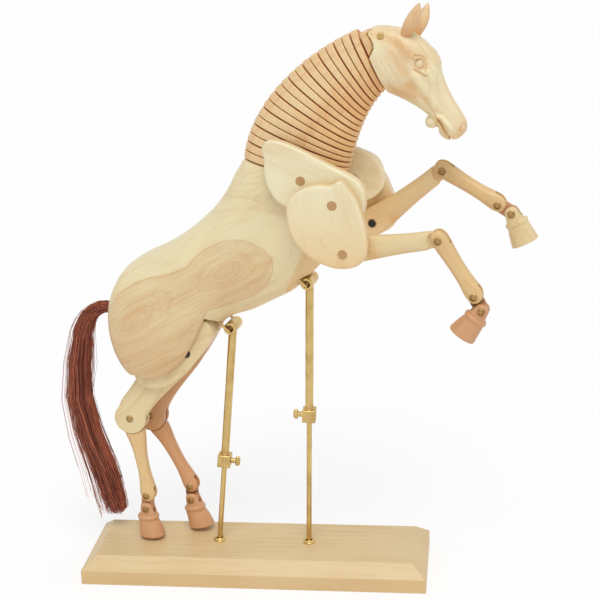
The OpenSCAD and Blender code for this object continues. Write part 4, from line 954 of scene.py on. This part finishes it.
def end_grain_and_shade(made, outer, most, low=0.0):
    """Ambered end grain on a plate's edges, below the flat of its outer face, with painted shade towards its lower end
    and on its undersides.
    """
    q = in_horse(made.data)
    below = (q[:, 2].max() - q[:, 2]) / np.ptp(q[:, 2])
    return paint_shade_and_amber(made, most * np.clip((outer - 1.2 - np.abs(q[:, 1])) / 4, 0, 1) + low * below ** 1.3, under_shade=0.2)

blade_y, arm_y = (28.4, 39.4), (39.8, 52.4)
for s in (-1, 1):
    j, a, name = joints[s], legs[s], side_name[s]
    blade = plate(name + "shoulder_blade", scapula_line, j["shoulder_pin"], a["scapula"], s * blade_y[0],
        s * blade_y[1], 3.2)
    dress(end_grain_and_shade(grained(blade, (67, 0, 395.5), a["scapula"] + 8), blade_y[1], 0.1 if s > 0 else 0.7),
        lit_far_plate_wood if s > 0 else plate_wood, name + "scapula", "maple", name + "scapula")
    arm = plate(name + "upper_arm", humerus_line, j["shoulder"], a["humerus"], s * arm_y[0], s * arm_y[1], 3.4)
    # The upper arms darken towards their lower ends: painted shade.
    dress(end_grain_and_shade(grained(arm, (100, 0, 350), a["humerus"]), arm_y[1], 0.1 if s > 0 else 0.7, 0.95),
        lit_far_plate_wood if s > 0 else plate_wood, name + "humerus", "maple", name + "humerus")

# The forelegs: forearm, cannon, pastern and hoof, turned and shaped from maple; tongues pass into forks at each joint.
# Each bone is lofted down its own length, slotted, and sanded round.
def bone(name, rows, at, angle, y, e):
    """A bone from rows of (height, back, front, half thickness) in its own frame, round at e = 1 and squarer below."""
    rings = []
    t = np.linspace(0, 2 * np.pi, 40, endpoint=False)
    for z, b, f, w in curve_through(rows, 4):
        x, height = hung([((b + f) / 2 + (f - b) / 2 * bent(np.cos(t), e), z)], at, angle)[0]
        rings.append(np.column_stack((x, y + w * bent(np.sin(t), e), height)))
    return lofted(name, rings)

def tongue_bar(at, angle, y, start, end, radius=6.8):
    """The flat tongue of a joint, from one place on the bone's line to another, round at its end."""
    side, half = (1 if start > end else -1), 2.5
    arc = [radians(t) for t in range(180 if side > 0 else 0, 361 if side > 0 else 181, 12)]
    line = [(radius * cos(t), end + radius * sin(t)) for t in arc] + [(side * radius, start), (-side * radius, start)]
    return prism("tongue", hung(line, at, angle), y - half, y + half)

fore_y, fork, slot_r = 33.9, 2.9, 11.2
leg_wood = wood("leg_maple", (0.77, 0.615, 0.335), (0.62, 0.37, 0.16), ring_depth=0.28)
# The far hind leg's thigh and cannon use a darker, redder copy: painted shade on the side away from the light.
shaded_far_leg_wood = wood("warm_leg_maple", (0.66, 0.36, 0.175), (0.52, 0.23, 0.09), ring_depth=0.28)
thigh_wood = wood("thigh_maple", (0.77, 0.62, 0.35), (0.62, 0.39, 0.17), ring_gap=2.8, ring_depth=0.45)
hoof_wood = wood("hoof_maple", (0.64, 0.34, 0.165), (0.52, 0.24, 0.10), ring_gap=4.5)
link_wood = wood("link_wood", (0.55, 0.27, 0.12), (0.42, 0.17, 0.07), ring_gap=3.5)

def hoof(body, at, angle, y, lean):
    """Two cheeks for the pastern, a rolled coronet and a flared wall, leaning forward by so much at the sole."""
    def leaning(rows):
        return [(z, back + lean * share, front + lean * share, half) for z, back, front, half, share in rows]
    cheeks = bone(body + "_wood", leaning([(6.2, -1.2, 1.2, 3.2, 0), (5.7, -3, 3, 5.4, 0), (3.5, -5.8, 5.8, 6.8, 0),
        (0, -6.7, 6.7, 7, 0), (-5, -7.6, 7.6, 7.1, 0.15), (-9.5, -8.4, 8.4, 7.4, 0.3), (-12, -8.6, 8.6, 7.6, 0.35)]),
        at, angle, y, 0.72)
    wall = bone("wall", leaning([(-7.6, -8.6, 8.6, 6.8, 0), (-8, -10, 10, 8.2, 0), (-9.4, -10.6, 10.6, 8.8, 0),
        (-11, -10.4, 10.4, 8.7, 0), (-12, -9.7, 9.7, 8.1, 0), (-13, -9.9, 9.9, 8.2, 0), (-18, -10.9, 10.9, 9.1, 0.5),
        (-24, -11.8, 11.9, 10, 0.8), (-28.6, -12.5, 12.6, 10.5, 1), (-29.4, -12, 12.1, 10, 1), (-29.5, -8, 8, 7, 1)]),
        at, angle, y, 0.92)
    fused(cheeks, wall)
    cut(cheeks, across("slot", at[0], at[1], 8.8, y - fork, y + fork))
    sanded(cheeks, 0.45, rounds=2, keep=0.6)
    # The hooves get painted shade on their undersides.
    dress(paint_shade_and_amber(grained(cheeks, (at[0], y, at[1]), angle), under_shade=0.3),
        leg_wood if body == "left_front_hoof" else hoof_wood, body, "red_maple", body)

def pastern(body, at, angle, y):
    """A flat link between fetlock and coffin joint, round at both ends."""
    link = fused(tongue_bar(at, angle, y, -7.1, 0, 6.0), tongue_bar(at, angle, y, -7.1, -14.2, 6.0))
    eased(link, 0.0005, 2, 50)
    link.data.shade_smooth()
    link.data.set_sharp_from_angle(angle=radians(40))
    link.data.validate()
    dress(grained(link, (at[0], y, at[1]), angle), link_wood, body, "red_maple", body)
    link.name = body.replace("pastern", "link")

for s in (-1, 1):
    j, a, name, y = joints[s], legs[s], side_name[s], s * fore_y
    fore = bone(name + "forearm_wood",
        [(13, -2, 2, 3), (12, -5, 5, 4.4), (8, -10, 10, 5.3), (0, -13, 13, 5.5), (-12, -12.6, 11.8, 5.5),
        (-28, -11, 9.6, 5.5), (-45, -9.4, 8.4, 5.6), (-60, -8.6, 7.9, 5.8), (-70, -8.2, 8.0, 5.8),
        (-76, -7.4, 8.0, 5.6), (-79, -6.4, 7.6, 5.2)], j["elbow"], a["forearm"], y, 0.7)
    cut(fore, across("hollow", *j["knee"], 9.4, y - 20, y + 20))
    bend = radians(a["front_cannon"] - 35)
    down, back, h = np.array((sin(bend), -cos(bend))), np.array((-cos(bend), -sin(bend))), np.array(j["knee"])
    cut(fore, prism("fold", [tuple(h), tuple(h + back * 7.6), tuple(h + back * 7.6 + down * 30),
        tuple(h + down * 30)], y - 20, y + 20))
    fused(fore, tongue_bar(j["knee"], a["forearm"], y, 20, 0))
    sanded(fore, 0.5, rounds=3, keep=0.6)
    # Painted shade in the hollow where the forearm comes out from under the upper arm, and on its undersides.
    ex, ez = j["elbow"]
    dress(paint_shade_and_amber(grained(fore, (ex, y, ez), a["forearm"]),
        0.6 * np.exp(-(away(in_horse(fore.data), [(ex + 20, ez + 4), (ex + 26, ez - 8)]) / 5) ** 2)),
        lit_far_forearm_wood if s > 0 else leg_wood, name + "forearm", "maple", name + "forearm")
    shank = bone(name + "cannon_wood",
        [(8.6, -1.6, 2.4, 2.6), (7.8, -3.6, 5.0, 5.0), (5, -6.0, 7.6, 6.6), (0, -6.9, 9.0, 7.0), (-8, -6.9, 8.6, 7.0),
        (-18, -6.2, 7.8, 6.8), (-30, -5.8, 7.4, 6.5), (-42, -6.0, 7.8, 6.7), (-50, -6.8, 8.8, 7.0),
        (-56, -7.0, 9.2, 7.0), (-61, -5.8, 7.4, 6.4), (-63.6, -3.4, 4.7, 4.8), (-64.7, -1.2, 2.0, 2.4)], j["knee"],
        a["front_cannon"], y, 0.78)
    cut(shank, across("slot", *j["knee"], slot_r, y - fork, y + fork),
        across("slot", *j["front_fetlock"], slot_r, y - fork, y + fork))
    sanded(shank, 0.45, rounds=3, keep=0.6)
    # The front cannons are warmed evenly and get painted shade on their undersides.
    dress(paint_shade_and_amber(grained(shank, (j["knee"][0], y, j["knee"][1]), a["front_cannon"]), 0.6), leg_wood,
        name + "front_cannon", "warm_maple", name + "front_cannon")
    pastern(name + "front_pastern", j["front_fetlock"], a["front_pastern"], y)
    hoof(name + "front_hoof", j["front_coffin"], a["front_hoof"], y, -1)

# The elbows' inner ends: a blackened cross-head screw draws each forearm to its upper arm.
# Its cap is turned and the cross is sawn into it.
for s in (-1, 1):
    j, name = joints[s], side_name[s]
    inner = s * 28.2
    cap = laid_across("cap", [(0.01, 0), (3.5, 0), (3.5, 0.7), (3.1, 1.1), (0.01, 1.2)], j["elbow"], inner + s * 0.35,
        inner - s * 0.9, 28)
    slot = [(-2.2, -0.45), (2.2, -0.45), (2.2, 0.45), (-2.2, 0.45)]
    cut(cap, *[prism("cross", hung(slot, j["elbow"], turn), inner - s * 0.45, inner - s * 1.4)
        for turn in (28.65, 118.65)])
    cap.name = name + "elbow_screw"
    cap.data.name = cap.name
    dress(cap, black_steel, name + "humerus", "steel")

# The hind legs: broad thigh boards that run up into the trunk's slots, long cannons waisted in the middle,
# then pastern links and hooves like those in front.
def in_side(place):
    """How far a place in the board's metres lies to the horse's left, in millimetres."""
    return (place.x * 1000 - pivot_x) * turn_s + place.y * 1000 * turn_c

hind_y = 13.4
thigh_head = [(19, 33), (27, 22), (25, 14), (12, -4), (-4, -22), (-22, -34), (-38, -37), (-50, -31), (-52, -18),
    (-38, -4), (-16, 8), (2, 14)]
for s in (-1, 1):
    j, a, name, y = joints[s], legs[s], side_name[s], s * hind_y
    lower = bone(name + "thigh_wood",
        [(-6, -27, 12, 6.5), (-20, -28, 12.5, 6.5), (-40, -24.5, 10.8, 6.5), (-60, -20.5, 9.4, 6.5),
        (-75, -18.9, 9.6, 6.5), (-88, -18.2, 12.0, 6.5), (-96.5, -15.7, 15.6, 6.5), (-104, -13.6, 13.4, 6.4),
        (-109, -9.2, 9.0, 6.2), (-111.6, -3.4, 3.2, 5.6)], hip_pin, a["gaskin"], y, 0.5)
    upper = prism("upper", hung(curved(thigh_head), hip_pin, a["gaskin"] - legs[-1]["gaskin"]), s * 6.9, s * 26.3)
    fused(lower, upper, across("round_end", *j["hock"], 15.6, y - 6.5, y + 6.5))
    cut(lower, across("slot", *j["hock"], 20, y - fork, y + fork))
    cut(lower, across("well", *hip_pin, 4.1, s * 23.8, s * 30))
    sanded(lower, 0.6, rounds=3, keep=0.6)
    # The thighs get painted shade on their undersides.
    dress(paint_shade_and_amber(grained(lower, (hip_pin[0], y, hip_pin[1]), a["gaskin"]), under_shade=0.3),
        shaded_far_leg_wood if s > 0 else thigh_wood, name + "gaskin", "warm_maple", name + "gaskin")
    lower.data.materials.append(thigh_wood)
    for face in lower.data.polygons:
        face.material_index = 1 if s * in_side(face.center) > 21.2 else 0
    shank = bone(name + "hind_cannon_wood",
        [(-10, -9.8, 10.4, 6.5), (-16, -9.6, 10.4, 6.5), (-24, -7.4, 9.4, 6.4), (-34, -5.6, 7.8, 6.2),
        (-46, -4.8, 6.8, 6.0), (-58, -4.6, 6.8, 6.0), (-68, -5.4, 8.0, 6.3), (-76, -6.8, 9.0, 6.5),
        (-81, -7.0, 9.2, 6.5), (-85.2, -5.8, 7.4, 6.0), (-87.8, -3.4, 4.7, 4.6), (-88.9, -1.2, 2.0, 2.4)], j["hock"],
        a["hind_cannon"], y, 0.78)
    cut(shank, across("hollow", *j["hock"], 16.1, y - 20, y + 20))
    fold = radians(a["gaskin"] - 24)
    u, v = np.array((-sin(fold), cos(fold))), np.array((cos(fold), sin(fold)))
    h = np.array(j["hock"])
    cut(shank, prism("fold", [tuple(h - v * 16.1), tuple(h + v * 16.1), tuple(h + v * 9.6 + u * 30),
        tuple(h - v * 19.6 + u * 30)], y - 20, y + 20))
    fused(shank, tongue_bar(j["hock"], a["hind_cannon"], y, -25, 0))
    cut(shank, across("slot", *j["hind_fetlock"], slot_r, y - fork, y + fork))
    sanded(shank, 0.45, rounds=3, keep=0.6)
    # The hind cannons are warmed evenly, less on the far side, and get painted shade on their undersides.
    dress(paint_shade_and_amber(grained(shank, (j["hock"][0], y, j["hock"][1]), a["hind_cannon"]), 0.6 if s < 0 else 0.3),
        shaded_far_leg_wood if s > 0 else leg_wood, name + "hind_cannon", "warm_maple", name + "hind_cannon")
    pastern(name + "hind_pastern", j["hind_fetlock"], a["hind_pastern"], y)
    hoof(name + "hind_hoof", j["hind_coffin"], a["hind_hoof"], y, 3)

# The leg screws: small round-headed brass bolts, each with a ring round its middle, on both faces of every joint.
# One head is turned and set on every place by a geometry tree.
bolt_brass = metal("aged_brass", (0.46, 0.29, 0.11), (0.22, 0.12, 0.045), polish=0.3)
pattern = turned_part("bolt_head", [(0.01, -0.6), (3.55, -0.6), (3.6, 0.2), (3.4, 0.6), (2.9, 0.85), (2.5, 0.8),
    (2.3, 0.2), (2.1, -0.3), (1.7, -0.3), (1.5, 0.5), (1.1, 0.8), (0.01, 0.85)], (0, 0, 0), (0, 0, 1), 24)
bolts = bpy.data.node_groups.new("set_bolts", "GeometryNodeTree")
bolts.is_modifier = True
given = sockets(bolts, [("Geometry", "Geometry", None), ("Head", "Object", None), ("Finish", "Material", None),
    ("Size", "Float", 1.0)], [("Geometry", "Geometry")])
shape = node(bolts, "GeometryNodeObjectInfo", [("Object", given["Head"])])
facing = node(bolts, "GeometryNodeInputNamedAttribute", [("Name", "out")], data_type="FLOAT_VECTOR").outputs[0]
tilt = node(bolts, "FunctionNodeAlignRotationToVector", [("Vector", facing)], axis="Z").outputs[0]
dots = node(bolts, "GeometryNodeMeshToPoints", [("Mesh", given["Geometry"])])
heads = node(bolts, "GeometryNodeInstanceOnPoints",
    [("Points", dots.outputs[0]), ("Instance", shape.outputs["Geometry"]), ("Rotation", tilt),
    ("Scale", given["Size"])])
real = node(bolts, "GeometryNodeRealizeInstances", [("Geometry", heads.outputs[0])])
done = node(bolts, "GeometryNodeSetMaterial", [("Geometry", real.outputs[0]), ("Material", given["Finish"])])
node(bolts, "NodeGroupOutput", [("Geometry", done.outputs[0])])

def bolt_heads(name, places, body, stands_for):
    """Bolt heads at (x, y, z, side) places, facing out to that side."""
    dots = bpy.data.meshes.new(name)
    dots.from_pydata([tuple(p) for p in on_board([q[:3] for q in places])], [], [])
    facing = dots.attributes.new("out", "FLOAT_VECTOR", "POINT")
    facing.data.foreach_set("vector", np.array([(q[3] * turn_s, q[3] * turn_c, 0) for q in places]).ravel())
    made = grown(placed(name, dots), name, bolts, Head=pattern, Finish=bolt_brass, Size=1.0)
    made.data.set_sharp_from_angle(angle=radians(38))
    dress(made, bolt_brass, body, "brass", stands_for)

for s in (-1, 1):
    j, name = joints[s], side_name[s]
    for body, plural, y, half, pins in (("front_cannon", "s", fore_y, 7.0, ("knee", "front_fetlock")),
            ("front_hoof", "", fore_y, 7.0, ("front_coffin",)),
            ("hind_cannon", "s", hind_y, 6.5, ("hock", "hind_fetlock")),
            ("hind_hoof", "", hind_y, 7.0, ("hind_coffin",))):
        places = [(j[pin][0], s * y + face * half, j[pin][1], face) for pin in pins for face in (-1, 1)]
        bolt_heads(name + body + "_bolt" + plural, places, name + body, name + body + "_screw" + plural)
bpy.data.objects.remove(pattern)
